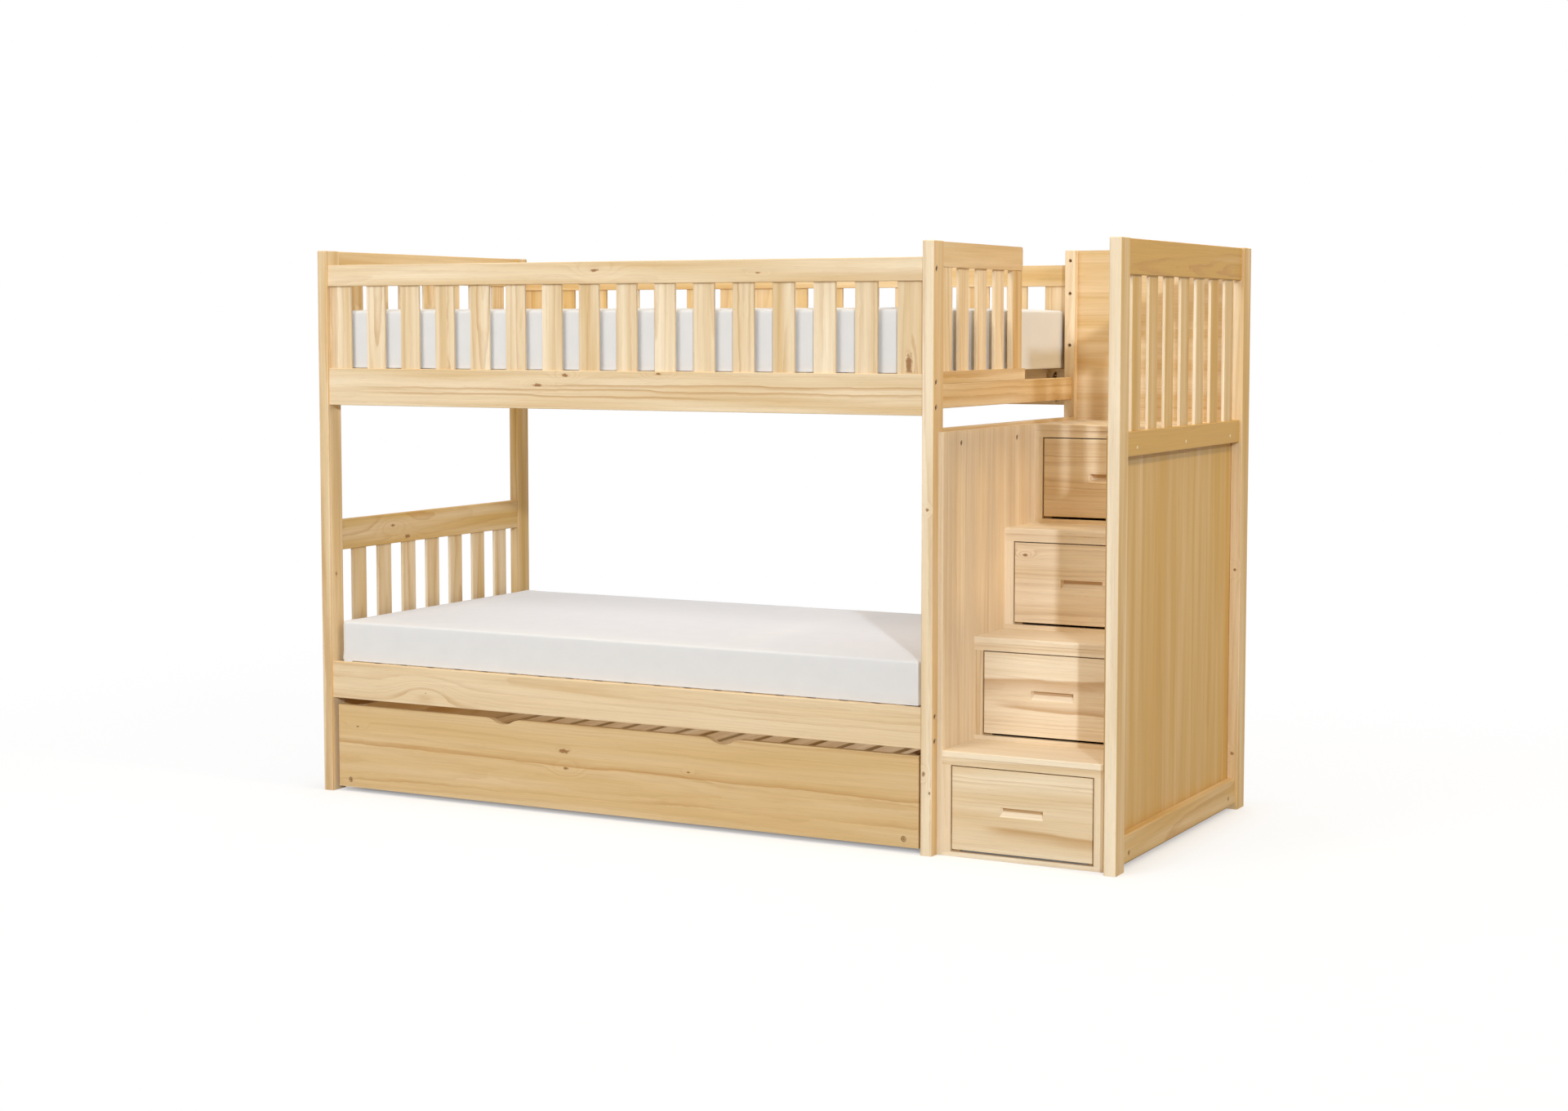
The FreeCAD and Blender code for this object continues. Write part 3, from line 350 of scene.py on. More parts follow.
def streak_group():
    """Node group of one resin streak along the grain: sharp on one side, soft on the other."""
    tree, given = group_tree("Pine streak", ("Position", "Middle", "Along", "Across"),
                             ("Slope", "Edge", "Soft", "Half", "Wave"), {"Streak": "Float"})
    away = add_node(tree, "VectorMath", {0: given["Position"], 1: given["Middle"]}, operation="SUBTRACT")
    along, across = [
        add_node(tree, "VectorMath", {0: away, 1: given[name]}, operation="DOT_PRODUCT").outputs["Value"]
        for name in ("Along", "Across")]
    # The streak wanders over about 400 mm and ripples over about 70 mm
    line = add_node(tree, "Math", {0: along, 1: given["Slope"]}, operation="MULTIPLY")
    for scale, strength in ((2.5, 2.6), (14.0, 0.9)):
        place = add_node(tree, "Math", {0: along, 1: scale}, operation="MULTIPLY")
        noise = add_node(tree, "TexNoise", {"W": place, "Scale": 1.0, "Detail": 2.0}, noise_dimensions="1D")
        even = add_node(tree, "Math", {0: noise, 1: strength, 2: -strength / 2}, operation="MULTIPLY_ADD")
        line = add_node(tree, "Math", {0: even, 1: given["Wave"], 2: line}, operation="MULTIPLY_ADD")
    off = add_node(tree, "Math", {0: across, 1: line}, operation="SUBTRACT")
    below = add_node(tree, "Math", {0: given["Edge"], 1: -1.0}, operation="MULTIPLY")
    sharp = add_node(tree, "MapRange", {"Value": off, "From Min": below, "From Max": 0.0},
                     interpolation_type="SMOOTHSTEP")
    soft = add_node(tree, "MapRange", {"Value": off, "From Min": given["Soft"], "From Max": 0.0})
    far = add_node(tree, "Math", {0: along}, operation="ABSOLUTE")
    far = add_node(tree, "Math", {0: far, 1: given["Half"]}, operation="DIVIDE")
    ends = add_node(tree, "MapRange", {"Value": far, "From Min": 1.0, "From Max": 0.6},
                    interpolation_type="SMOOTHSTEP")
    streak = add_node(tree, "Math", {0: sharp, 1: soft}, operation="MULTIPLY")
    streak = add_node(tree, "Math", {0: streak, 1: ends}, operation="MULTIPLY")
    return group_result(tree, Streak=streak)


def slot_shading_group():
    """Node group of a routed grip slot: masks of the slope, painted highlight, and of the upright wall behind
    it, painted shade.
    """
    tree, given = group_tree("Grip slot painted light and shade", ("Position", "Middle", "Half"), ("Depth",),
                             {"Slope": "Float", "Wall": "Float"})
    away = add_node(tree, "VectorMath", {0: given["Position"], 1: given["Middle"]}, operation="SUBTRACT")
    share = add_node(tree, "VectorMath", {0: away, 1: given["Half"]}, operation="DIVIDE")
    share = add_node(tree, "VectorMath", {0: share}, operation="ABSOLUTE")
    parts = add_node(tree, "SeparateXYZ", {0: share}).outputs
    widest = add_node(tree, "Math", {0: parts["X"], 1: parts["Z"]}, operation="MAXIMUM")
    inside = add_node(tree, "Math", {0: widest, 1: 1.0}, operation="LESS_THAN")
    deep = add_node(tree, "SeparateXYZ", {0: away}).outputs["Y"]
    behind = add_node(tree, "Math", {0: deep, 1: given["Depth"]}, operation="GREATER_THAN")
    cut = add_node(tree, "Math", {0: deep, 1: 0.6 * MM}, operation="GREATER_THAN")
    # The upright wall behind the slope gets painted shade, the slope in front of it a painted highlight
    shaded_wall = add_node(tree, "Math", {0: inside, 1: behind}, operation="MULTIPLY")
    cut = add_node(tree, "Math", {0: inside, 1: cut}, operation="MULTIPLY")
    slope = add_node(tree, "Math", {0: cut, 1: shaded_wall}, operation="SUBTRACT")
    return group_result(tree, Slope=slope, Wall=shaded_wall)


def figure_group(look):
    """Node group of one pine board: rings round a pith line, fibres, slow drift of tone and knots."""
    tree, given = group_tree(
        "Pine figure", ("Position", "Start", "Cell", *GRAIN_INPUTS),
        ("Seed", "Tone", "Ring", "Pith", "Wander", "Lean", "Contrast", "Drift", "Heart", "Swirl", "Streak"),
        {"Colour": "Color", "Roughness": "Float", "Normal": "Vector"})

    # Each board has its own cell, its own chance numbers and coordinates from its own middle
    placed = add_node(tree, "VectorMath", {0: given["Position"], 1: given["Start"]}, operation="SUBTRACT")
    cells = add_node(tree, "VectorMath", {0: placed, 1: given["Cell"]}, operation="DIVIDE")
    board = add_node(tree, "VectorMath", {0: cells}, operation="FLOOR")
    seeded = add_node(tree, "VectorMath", {0: board, 1: given["Seed"]}, operation="ADD")
    chance = add_node(tree, "TexWhiteNoise", {"Vector": seeded}, noise_dimensions="3D").outputs["Color"]
    draws = add_node(tree, "SeparateXYZ", {0: chance}).outputs
    share = add_node(tree, "VectorMath", {0: cells}, operation="FRACTION")
    middle = add_node(tree, "VectorMath", {0: share, 1: (0.5, 0.5, 0.5)}, operation="SUBTRACT")
    local = add_node(tree, "VectorMath", {0: middle, 1: given["Cell"]}, operation="MULTIPLY")
    along, across, through = [
        add_node(tree, "VectorMath", {0: local, 1: given[name]}, operation="DOT_PRODUCT").outputs["Value"]
        for name in GRAIN_INPUTS]
    grain = add_node(tree, "CombineXYZ", {0: along, 1: across, 2: through})
    shift = add_node(tree, "VectorMath", {0: chance, "Scale": 40.0}, operation="SCALE")

    def noise(frequency, detail, output="Fac"):
        """Noise of its own frequency along and across the grain, per metre."""
        stretch = (frequency[0], frequency[1], frequency[1])
        place = add_node(tree, "VectorMath", {0: grain, 1: stretch, 2: shift}, operation="MULTIPLY_ADD")
        return add_node(tree, "TexNoise", {"Vector": place, "Scale": 1.0, "Detail": detail}).outputs[output]

    # Ring lines wander over about 700 mm along the grain and 120 mm across it, ripple over 160 by 35 mm
    # and tremble over 40 by 16 mm
    bend = None
    for frequency, strength in (((1.4, 8.0), 2.0), ((6.0, 28.0), 0.6), ((24.0, 60.0), 0.28)):
        even = add_node(tree, "VectorMath", {0: noise(frequency, 1.5, "Color"), 1: (0.5, 0.5, 0.5)},
                        operation="SUBTRACT")
        reach = add_node(tree, "Math", {0: given["Wander"], 1: strength}, operation="MULTIPLY")
        part = add_node(tree, "VectorMath", {0: even, "Scale": reach}, operation="SCALE")
        bend = add_node(tree, "VectorMath", {0: bend, 1: part}, operation="ADD") if bend else part
    bent = add_node(tree, "SeparateXYZ", {0: bend}).outputs

    # The pith lies to one side of the board's middle line and leans along the board
    aside = add_node(tree, "Math", {0: draws["X"], 1: -0.11, 2: 0.055}, operation="MULTIPLY_ADD")
    side = add_node(tree, "Math", {0: across, 1: aside}, operation="ADD")
    side = add_node(tree, "Math", {0: side, 1: bent["X"]}, operation="ADD")
    far = add_node(tree, "Math", {0: draws["Y"], 1: 0.6, 2: 0.7}, operation="MULTIPLY_ADD")
    behind = add_node(tree, "Math", {0: given["Pith"], 1: far, 2: through}, operation="MULTIPLY_ADD")
    sway = add_node(tree, "Math", {0: draws["Z"], 1: 2.0, 2: -1.0}, operation="MULTIPLY_ADD")
    lean = add_node(tree, "Math", {0: sway, 1: given["Lean"]}, operation="MULTIPLY")
    behind = add_node(tree, "Math", {0: along, 1: lean, 2: behind}, operation="MULTIPLY_ADD")
    behind = add_node(tree, "Math", {0: behind, 1: bent["Y"]}, operation="ADD")
    spoke = add_node(tree, "CombineXYZ", {0: side, 1: behind})
    radius = add_node(tree, "VectorMath", {0: spoke}, operation="LENGTH").outputs["Value"]
    phase = add_node(tree, "Math", {0: radius, 1: given["Ring"]}, operation="DIVIDE")
    phase = add_node(tree, "Math", {0: given["Swirl"], 1: 3.2, 2: phase}, operation="MULTIPLY_ADD")

    # Some years grew wide and some narrow
    season = add_node(tree, "Math", {0: phase, 1: 0.23, 2: given["Seed"]}, operation="MULTIPLY_ADD")
    uneven = add_node(tree, "TexNoise", {"W": season, "Scale": 1.0, "Detail": 1.0}, noise_dimensions="1D")
    phase = add_node(tree, "Math", {0: uneven, 1: 2.4, 2: phase}, operation="MULTIPLY_ADD")

    # A ring darkens slowly and ends at once; some rings are bold, some hardly show, and all fade in places
    turn = add_node(tree, "Math", {0: phase}, operation="FRACT")
    rise = add_node(tree, "MapRange", {"Value": turn, "From Min": 0.35, "From Max": 0.92},
                    interpolation_type="SMOOTHSTEP")
    drop = add_node(tree, "MapRange", {"Value": turn, "From Min": 1.0, "From Max": 0.93},
                    interpolation_type="SMOOTHSTEP")
    late = add_node(tree, "Math", {0: rise, 1: drop}, operation="MULTIPLY")
    year = add_node(tree, "Math", {0: phase}, operation="FLOOR")
    year = add_node(tree, "Math", {0: year, 1: given["Seed"]}, operation="ADD")
    bold = add_node(tree, "TexWhiteNoise", {"W": year}, noise_dimensions="1D").outputs["Value"]
    bold = add_node(tree, "Math", {0: bold, 1: 2.0}, operation="POWER")
    bold = add_node(tree, "Math", {0: bold, 1: 0.75, 2: 0.22}, operation="MULTIPLY_ADD")
    fade = add_node(tree, "MapRange", {"Value": noise((2.6, 30.0), 2.0), "From Min": 0.3, "From Max": 0.65,
                                       "To Min": 0.3, "To Max": 1.15})
    line = add_node(tree, "Math", {0: late, 1: bold}, operation="MULTIPLY")
    line = add_node(tree, "Math", {0: line, 1: fade}, operation="MULTIPLY")
    line = add_node(tree, "Math", {0: line, 1: given["Contrast"]}, operation="MULTIPLY", use_clamp=True)

    # Resin canals are short dark dashes; fibres are under 0.1 mm in pine, and are drawn 3 mm apart to show
    dash = add_node(tree, "MapRange", {"Value": noise((28.0, 520.0), 1.0), "From Min": 0.62, "From Max": 0.74,
                                       "To Max": 0.14})
    line = add_node(tree, "Math", {0: line, 1: dash}, operation="ADD", use_clamp=True)
    fibre = noise((5.0, 330.0), 3.0)
    drift = add_node(tree, "Math", {0: noise((1.1, 22.0), 2.0), 1: 1.3, 2: -0.65}, operation="MULTIPLY_ADD")
    tone = add_node(tree, "Math", {0: draws["Z"], 1: 0.30, 2: -0.15}, operation="MULTIPLY_ADD")
    drift = add_node(tree, "Math", {0: drift, 1: tone}, operation="ADD")
    warm = add_node(tree, "Math", {0: drift, 1: given["Drift"], 2: given["Tone"]}, operation="MULTIPLY_ADD",
                    use_clamp=True)
    ground = add_node(tree, "Mix", {0: warm, 6: opaque(look.sapwood), 7: opaque(look.honey)},
                      data_type="RGBA").outputs[2]
    latewood = opaque(look.latewood)
    ringed = add_node(tree, "Mix", {0: line, 6: ground, 7: latewood}, data_type="RGBA").outputs[2]
    # Resin streaks and the painted shade of the grip slot walls both darken the wood towards latewood here
    dark = add_node(tree, "Math", {0: given["Streak"], 1: 0.62}, operation="MULTIPLY")
    streaked_and_shaded = add_node(tree, "Mix", {0: dark, 6: ringed, 7: latewood}, data_type="RGBA").outputs[2]
    glow = add_node(tree, "Math", {0: fibre, 1: 0.24, 2: 0.88}, operation="MULTIPLY_ADD")
    fibred = add_node(tree, "VectorMath", {0: streaked_and_shaded, "Scale": glow}, operation="SCALE")
    heart = add_node(tree, "Math", {0: given["Heart"], 1: 0.8}, operation="MULTIPLY")
    colour = add_node(tree, "Mix", {0: heart, 6: fibred, 7: opaque(look.knot)}, data_type="RGBA").outputs[2]

    # The hard ring lines take a little more polish and stand up a little
    rough = add_node(tree, "Math", {0: line, 1: -0.10, 2: look.roughness}, operation="MULTIPLY_ADD")
    relief = add_node(tree, "Math", {0: fibre, 1: 0.6, 2: line}, operation="MULTIPLY_ADD")
    bump = add_node(tree, "Bump", {"Strength": 0.25, "Distance": 0.3 * MM, "Height": relief})
    return group_result(tree, Colour=colour, Roughness=rough, Normal=bump)


def pine_group(name, make):
    """Node group of the pine, made once."""
    return bpy.data.node_groups.get(name) or make()


def new_material(name):
    """Empty node material with its output and main shader."""
    material = bpy.data.materials.new(name)
    material.use_nodes = True
    tree = material.node_tree
    tree.nodes.clear()
    shader = add_node(tree, "BsdfPrincipled")
    add_node(tree, "OutputMaterial", {"Surface": shader})
    return material, tree, shader


def strongest(tree, inputs, name, value):
    """Keep the stronger of a mark and the marks before it."""
    inputs[name] = value if name not in inputs else add_node(
        tree, "Math", {0: inputs[name], 1: value}, operation="MAXIMUM").outputs[0]


def pine(look, node, grain, sawn, tone, seed, cells=(), crosswise=None):
    """Pine: pale honey wood with ring lines and knots; satin lacquered where it shows, raw where hidden."""
    raw = node in RAW_BOARDS
    material, tree, shader = new_material(("Raw pine " if raw else "Lacquered pine ") + node)
    place = add_node(tree, "TexCoord").outputs["Object"]
    low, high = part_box(node)
    cell = Vector((ROOM, ROOM, ROOM))
    start = (low + high - cell) / 2
    for axis, first, pitch in cells:
        start[axis] = first
        cell[axis] = pitch
    ring, pith, wander, lean, contrast, drift = FIGURE[sawn]
    inputs = {"Position": place, "Start": start, "Cell": cell, "Seed": seed, "Tone": tone, "Ring": ring * MM,
              "Pith": pith * MM, "Wander": wander * MM, "Lean": lean, "Contrast": contrast, "Drift": drift}
    for name, axis in zip(GRAIN_INPUTS, GRAIN[grain]):
        inputs[name] = unit(axis)
    for centre, flame, share in KNOTS.get(node, ()):
        mark = add_node(tree, "Group", {"Position": place, "Centre": Vector(centre) * MM,
                                        "Flame": Vector(flame) * MM, "Share": share},
                        node_tree=pine_group("Pine knot", knot_group)).outputs
        strongest(tree, inputs, "Heart", mark["Heart"])
        strongest(tree, inputs, "Swirl", mark["Swirl"])
    for middle, up, slope, edge, soft, half, wave in STREAKS.get(node, ()):
        mark = add_node(tree, "Group", {"Position": place, "Middle": Vector(middle) * MM,
                                        "Along": inputs["Along"],
                                        "Across": [up * c for c in inputs["Across"]],
                                        "Slope": slope, "Edge": edge * MM, "Soft": soft * MM,
                                        "Half": half * MM, "Wave": wave * MM},
                        node_tree=pine_group("Pine streak", streak_group)).outputs
        strongest(tree, inputs, "Streak", mark["Streak"])
    # Painted shade: the tone deepens within the last millimetres before the +X face
    if node in SHADED_SIDE:
        reach = add_node(tree, "SeparateXYZ", {0: place}).outputs["X"]
        reach = add_node(tree, "MapRange", {"Value": reach, "From Min": high.x - SHADED_SIDE_FADE * MM,
                                            "From Max": high.x, "To Min": tone,
                                            "To Max": tone + SHADED_SIDE[node]})
        inputs["Tone"] = reach.outputs[0]
    if node.startswith("drawer_front"):
        mouth = Vector(((low.x + high.x) / 2, low.y, (low.z + high.z) / 2))
        slot_shading = add_node(tree, "Group", {"Position": place, "Middle": mouth, "Half": SLOT_HALF * MM,
                                        "Depth": SLOT_DEPTH * MM},
                        node_tree=pine_group("Grip slot painted light and shade", slot_shading_group)).outputs
        # Painted shade darkens the slot's upright wall towards latewood; a painted highlight pales its slope
        # towards sapwood
        strongest(tree, inputs, "Streak", slot_shading["Wall"])
        inputs["Tone"] = add_node(tree, "Math", {0: slot_shading["Slope"], 1: SLOT_PAINTED_LIGHT, 2: tone},
                                  operation="MULTIPLY_ADD").outputs[0]
    # Boards that lie the other way in one node, such as the back of a drawer box, have their own grain
    if crosswise:
        axis, centre, limit, other = crosswise
        parts = add_node(tree, "SeparateXYZ", {0: place}).outputs
        off = add_node(tree, "Math", {0: parts[axis], 1: centre}, operation="SUBTRACT")
        off = add_node(tree, "Math", {0: off}, operation="ABSOLUTE")
        beyond = add_node(tree, "Math", {0: off, 1: limit}, operation="GREATER_THAN")
        for name, main, turned in zip(GRAIN_INPUTS, GRAIN[grain], GRAIN[other]):
            inputs[name] = add_node(tree, "Mix", {0: beyond, 4: unit(main), 5: unit(turned)},
                                    data_type="VECTOR").outputs[1]
    board = add_node(tree, "Group", inputs,
                     node_tree=pine_group("Pine figure", lambda: figure_group(look))).outputs
    set_inputs(tree, shader, {"Base Color": board["Colour"], "Roughness": board["Roughness"],
                              "Normal": board["Normal"], "IOR": 1.5,
                              "Specular IOR Level": 0.02 if raw else 0.14})
    return material


def dress(node, material):
    """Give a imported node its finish."""
    piece = NODES[node]
    if not piece.material_slots:
        piece.data.materials.append(material)
    for place in piece.material_slots:
        place.material = material


def dress_boards(context, rows):
    """Finish a group of pine nodes: name, grain, saw cut, tone, seed, cells and a crosswise part."""
    for node, grain, sawn, tone, seed, *more in rows:
        dress(node, pine(context.scene.pine_look, node, grain, sawn, tone, seed, *more))


class BUNK_OT_posts(bpy.types.Operator):
    """Finish the six posts"""
    bl_idname = "bunk_bed.posts"
    bl_label = "Posts"

    def execute(self, context):
        dress_boards(context, [
            ("front_left_post", "front upright", "quarter sawn", 0.66, 3.1),
            ("front_middle_post", "front upright", "quarter sawn", 0.25, 5.7),
            ("front_right_post", "front upright", "quarter sawn", 0.08, 8.2),
            ("back_left_post", "front upright", "rift sawn", 0.72, 11.4),
            ("back_middle_post", "front upright", "quarter sawn", 0.38, 14.9),
            ("back_right_post", "front upright", "rift sawn", 0.38, 17.3),
        ])
        return {"FINISHED"}


class BUNK_OT_side_rails(bpy.types.Operator):
    """Finish the side rails and guard boards"""
    bl_idname = "bunk_bed.side_rails"
    bl_label = "Side rails"

    def execute(self, context):
        dress_boards(context, [
            ("front_upper_rail", "long board", "rift sawn", 0.43, 21.6),
            ("front_lower_rail", "long board", "calm cathedral", 0.46, 24.2),
            ("back_upper_rail", "long board", "flat sawn", 0.62, 27.8),
            ("back_lower_rail", "long board", "flat sawn", 0.53, 30.5),
            ("front_guard_board", "long board", "flat sawn", 0.33, 33.3),
            ("back_guard_board", "long board", "rift sawn", 0.72, 36.7),
        ])
        return {"FINISHED"}


class BUNK_OT_guard_slats(bpy.types.Operator):
    """Finish the slats of the guards and ends"""
    bl_idname = "bunk_bed.guard_slats"
    bl_label = "Guard slats"

    def execute(self, context):
        guard_count, guard_width = 16, 79 * MM
        end_count, end_width = 7, 66 * MM
        tier = 600 * MM
        front, back = [spread(node, LENGTH, guard_count, guard_width)
                       for node in ("front_guard_slats", "back_guard_slats")]
        left, middle, right = [spread(node, DEPTH, end_count, end_width)
                               for node in ("left_end_slats", "middle_end_slats", "right_end_slats")]
        dress_boards(context, [
            ("front_guard_slats", "front upright", "cathedral", 0.34, 41.9, [front]),
            ("back_guard_slats", "front upright", "flat sawn", 0.62, 43.4, [back]),
            ("middle_end_slats", "end upright", "flat sawn", 0.49, 45.2, [middle]),
            ("right_end_slats", "end upright", "drawer", 0.06, 47.6, [right]),
            ("left_end_slats", "end upright", "flat sawn", 0.25, 49.1,
             [left, strips("left_end_slats", HEIGHT, tier)]),
        ])
        return {"FINISHED"}


class BUNK_OT_end_rails(bpy.types.Operator):
    """Finish the rails of the three ends and the entry guard"""
    bl_idname = "bunk_bed.end_rails"
    bl_label = "End rails and entry guard"

    def execute(self, context):
        thickness = 22 * MM
        upright_count, upright_width = 5, 70 * MM
        upper, lower = [spread(node, LENGTH, 2, thickness) for node in ("upper_end_rails", "lower_end_rails")]
        dress_boards(context, [
            ("left_upper_top_rail", "end rail", "flat sawn", 0.56, 52.3),
            ("left_lower_top_rail", "end rail", "cathedral", 0.72, 55.8),
            ("middle_lower_top_rail", "end rail", "flat sawn", 0.49, 57.1),
            ("middle_stair_rail", "end rail", "rift sawn", 0.49, 59.4),
            ("upper_end_rails", "end rail", "rift sawn", 0.49, 61.7, [upper]),
            ("lower_end_rails", "end rail", "rift sawn", 0.49, 63.2, [lower]),
            # The stair end's rails are set to deep honey, past the honey colour: their own tone together with
            # painted shade for their outward faces
            ("right_top_rail", "end rail", "cathedral", 1.25, 65.9),
            ("right_middle_rail", "end rail", "rift sawn", 1.15, 67.5),
            ("right_bottom_rail", "end rail", "rift sawn", 0.83, 69.3),
            ("entry_guard_top_rail", "end rail", "flat sawn", 0.56, 71.6),
            ("entry_guard_bottom_rail", "end rail", "quarter sawn", 0.53, 73.8),
            ("entry_guard_uprights", "end upright", "flat sawn", 0.12, 75.2,
             [spread("entry_guard_uprights", DEPTH, upright_count, upright_width)]),
        ])
        return {"FINISHED"}


def deck_cells(node):
    """Cells of the slats of one deck."""
    slat_count, slat_width = 19, 72 * MM
    return spread(node, LENGTH, slat_count, slat_width)


class BUNK_OT_decks(bpy.types.Operator):
    """Finish the ledgers and deck slats"""
    bl_idname = "bunk_bed.decks"
    bl_label = "Decks"

    def execute(self, context):
        ledger_width, ledger_height = 22 * MM, 28 * MM
        dress_boards(context, [
            ("upper_deck_slats", "deck slat", "flat sawn", 0.45, 81.3, [deck_cells("upper_deck_slats")]),
            ("lower_deck_slats", "deck slat", "flat sawn", 0.45, 83.6, [deck_cells("lower_deck_slats")]),
            ("deck_ledgers", "long board", "rift sawn", 0.45, 85.1,
             [spread("deck_ledgers", DEPTH, 2, ledger_width),
              spread("deck_ledgers", HEIGHT, 2, ledger_height)]),
        ])
        return {"FINISHED"}


class BUNK_OT_stairs(bpy.types.Operator):
    """Finish the panels, treads, face frames and runners of the stair cabinet"""
    bl_idname = "bunk_bed.stairs"
    bl_label = "Stair cabinet"

    def execute(self, context):
        strip = context.scene.pine_look.strip
        step_count, tread_thickness = 4, 16 * MM
        stile_width, runner_width = 25 * MM, 46 * MM
        below_rail, below_stile, below_runner = 8 * MM, 24 * MM, 20 * MM
        left, right = [strips(node, DEPTH, strip) for node in ("stair_left_panel", "stair_right_panel")]
        treads = spread("stair_treads", HEIGHT, step_count, tread_thickness)
        rise = treads[2]
        dress_boards(context, [
            ("stair_left_panel", "end upright", "panel", 0.16, 91.4, [left]),
            # The right panel is set much darker than the left one: its own tone together with painted shade
            # for its outward face
            ("stair_right_panel", "end upright", "panel", 0.94, 93.2, [right]),
            ("stair_back_panel", "long board", "drawer", 0.66, 95.7,
             [strips("stair_back_panel", HEIGHT, 4 * strip)]),
            ("stair_treads", "tread", "drawer", -0.04, 97.3, [treads]),
            # Each drawer has an apron over it and a sill under it
            ("stair_frame_rails", "long board", "rift sawn", 0.17, 99.8,
             [stacked("stair_frame_rails", below_rail, rise / 2)]),
            ("stair_frame_stiles", "front upright", "rift sawn", 0.17, 102.6,
             [stacked("stair_frame_stiles", below_stile, rise),
              spread("stair_frame_stiles", LENGTH, 2, stile_width)]),
            ("drawer_runners", "deck slat", "rift sawn", 0.45, 104.1,
             [stacked("drawer_runners", below_runner, rise),
              spread("drawer_runners", LENGTH, 2, runner_width)]),
        ])
        return {"FINISHED"}


class BUNK_OT_drawers(bpy.types.Operator):
    """Finish the drawer fronts and boxes"""
    bl_idname = "bunk_bed.drawers"
    bl_label = "Drawers"

    def execute(self, context):
        back_thickness = 12.2 * MM
        for number, tone, seed in ((1, 0.35, 111.3), (2, -0.05, 113.8), (3, 0.12, 116.2), (4, 0.36, 118.9)):
            box_node = "drawer_box_%d" % number
            low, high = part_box(box_node)
            back = (DEPTH, low.y, high.y - low.y - back_thickness, "long board")
            dress_boards(context, [
                ("drawer_front_%d" % number, "long board", "drawer", tone, seed),
                (box_node, "deck slat", "rift sawn", 0.38, seed + 10, (), back),
            ])
        return {"FINISHED"}


class BUNK_OT_trundle(bpy.types.Operator):
    """Finish the boards of the trundle"""
    bl_idname = "bunk_bed.trundle"
    bl_label = "Trundle"

    def execute(self, context):
        side_thickness = 20.2 * MM
        low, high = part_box("trundle_frame")
        sides = (LENGTH, (low.x + high.x) / 2, (high.x - low.x) / 2 - side_thickness, "end rail")
        dress_boards(context, [
            ("trundle_front", "long board", "calm", 0.72, 131.5),
            ("trundle_frame", "long board", "rift sawn", 0.45, 134.2, (), sides),
            ("trundle_slats", "deck slat", "flat sawn", 0.45, 137.7, [deck_cells("trundle_slats")]),
        ])
        return {"FINISHED"}


# Hardware

def zinc_plated_steel(look):
    """Zinc plated steel: brassy from the passivating bath, with a patchy dull bloom."""
    material, tree, shader = new_material("Zinc plated steel")
    place = add_node(tree, "TexCoord").outputs["Object"]
    bloom = add_node(tree, "TexNoise", {"Vector": place, "Scale": 1 / (4 * MM), "Detail": 3.0})
    dull = add_node(tree, "MapRange", {"Value": bloom, "To Min": 0.28, "To Max": 0.5})
    dark = [c * 0.72 for c in look.steel]
    colour = add_node(tree, "Mix", {0: bloom, 6: opaque(look.steel), 7: opaque(dark)}, data_type="RGBA")
    set_inputs(tree, shader, {"Base Color": colour.outputs[2], "Roughness": dull, "Metallic": 1.0})
    return material


def moulded_nylon(look):
    """Black moulded nylon: fine grain from the mould and a low sheen."""
    material, tree, shader = new_material("Moulded nylon")
    place = add_node(tree, "TexCoord").outputs["Object"]
    grain = add_node(tree, "TexNoise", {"Vector": place, "Scale": 1 / (1.2 * MM), "Detail": 2.0})
    worn = add_node(tree, "TexNoise", {"Vector": place, "Scale": 1 / (9 * MM), "Detail": 2.0})
    pale = [min(1.0, c * 2.2) for c in look.plastic]
    colour = add_node(tree, "Mix", {0: worn, 6: opaque(look.plastic), 7: opaque(pale)}, data_type="RGBA")
    rough = add_node(tree, "MapRange", {"Value": worn, "To Min": 0.45, "To Max": 0.65})
    bump = add_node(tree, "Bump", {"Strength": 0.3, "Distance": 0.05 * MM, "Height": grain})
    set_inputs(tree, shader, {"Base Color": colour.outputs[2], "Roughness": rough, "Normal": bump,
                              "IOR": 1.53})
    return material


def plug_wood(look):
    """Face of a pale wood plug: end grain, so speckled with pores and without lines."""
    material, tree, shader = new_material("Pale plug wood")
    place = add_node(tree, "TexCoord").outputs["Object"]
    pores = add_node(tree, "TexNoise", {"Vector": place, "Scale": 1 / (1.5 * MM), "Detail": 2.0})
    dark = [c * 0.78 for c in look.plug]
    colour = add_node(tree, "Mix", {0: pores, 6: opaque(look.plug), 7: opaque(dark)}, data_type="RGBA")
    rough = add_node(tree, "MapRange", {"Value": pores, "To Min": 0.42, "To Max": 0.58})
    set_inputs(tree, shader, {"Base Color": colour.outputs[2], "Roughness": rough, "IOR": 1.5})
    return material


class BUNK_OT_hardware(bpy.types.Operator):
    """Finish the bolts, nuts, screws, wheels, plugs and dowels"""
    bl_idname = "bunk_bed.hardware"
    bl_label = "Hardware"

    def execute(self, context):
        look = context.scene.hardware_look
        steel = zinc_plated_steel(look)
        for node in ("rail_bolts", "rail_nuts", "stair_screws", "trundle_hardware"):
            dress(node, steel)
        nylon = moulded_nylon(look)
        for node in ("trundle_front_wheels", "trundle_back_wheels"):
            dress(node, nylon)
        pale = plug_wood(look)
        for node in ("rail_plugs", "frame_dowels"):
            dress(node, pale)
        return {"FINISHED"}


# Mattresses

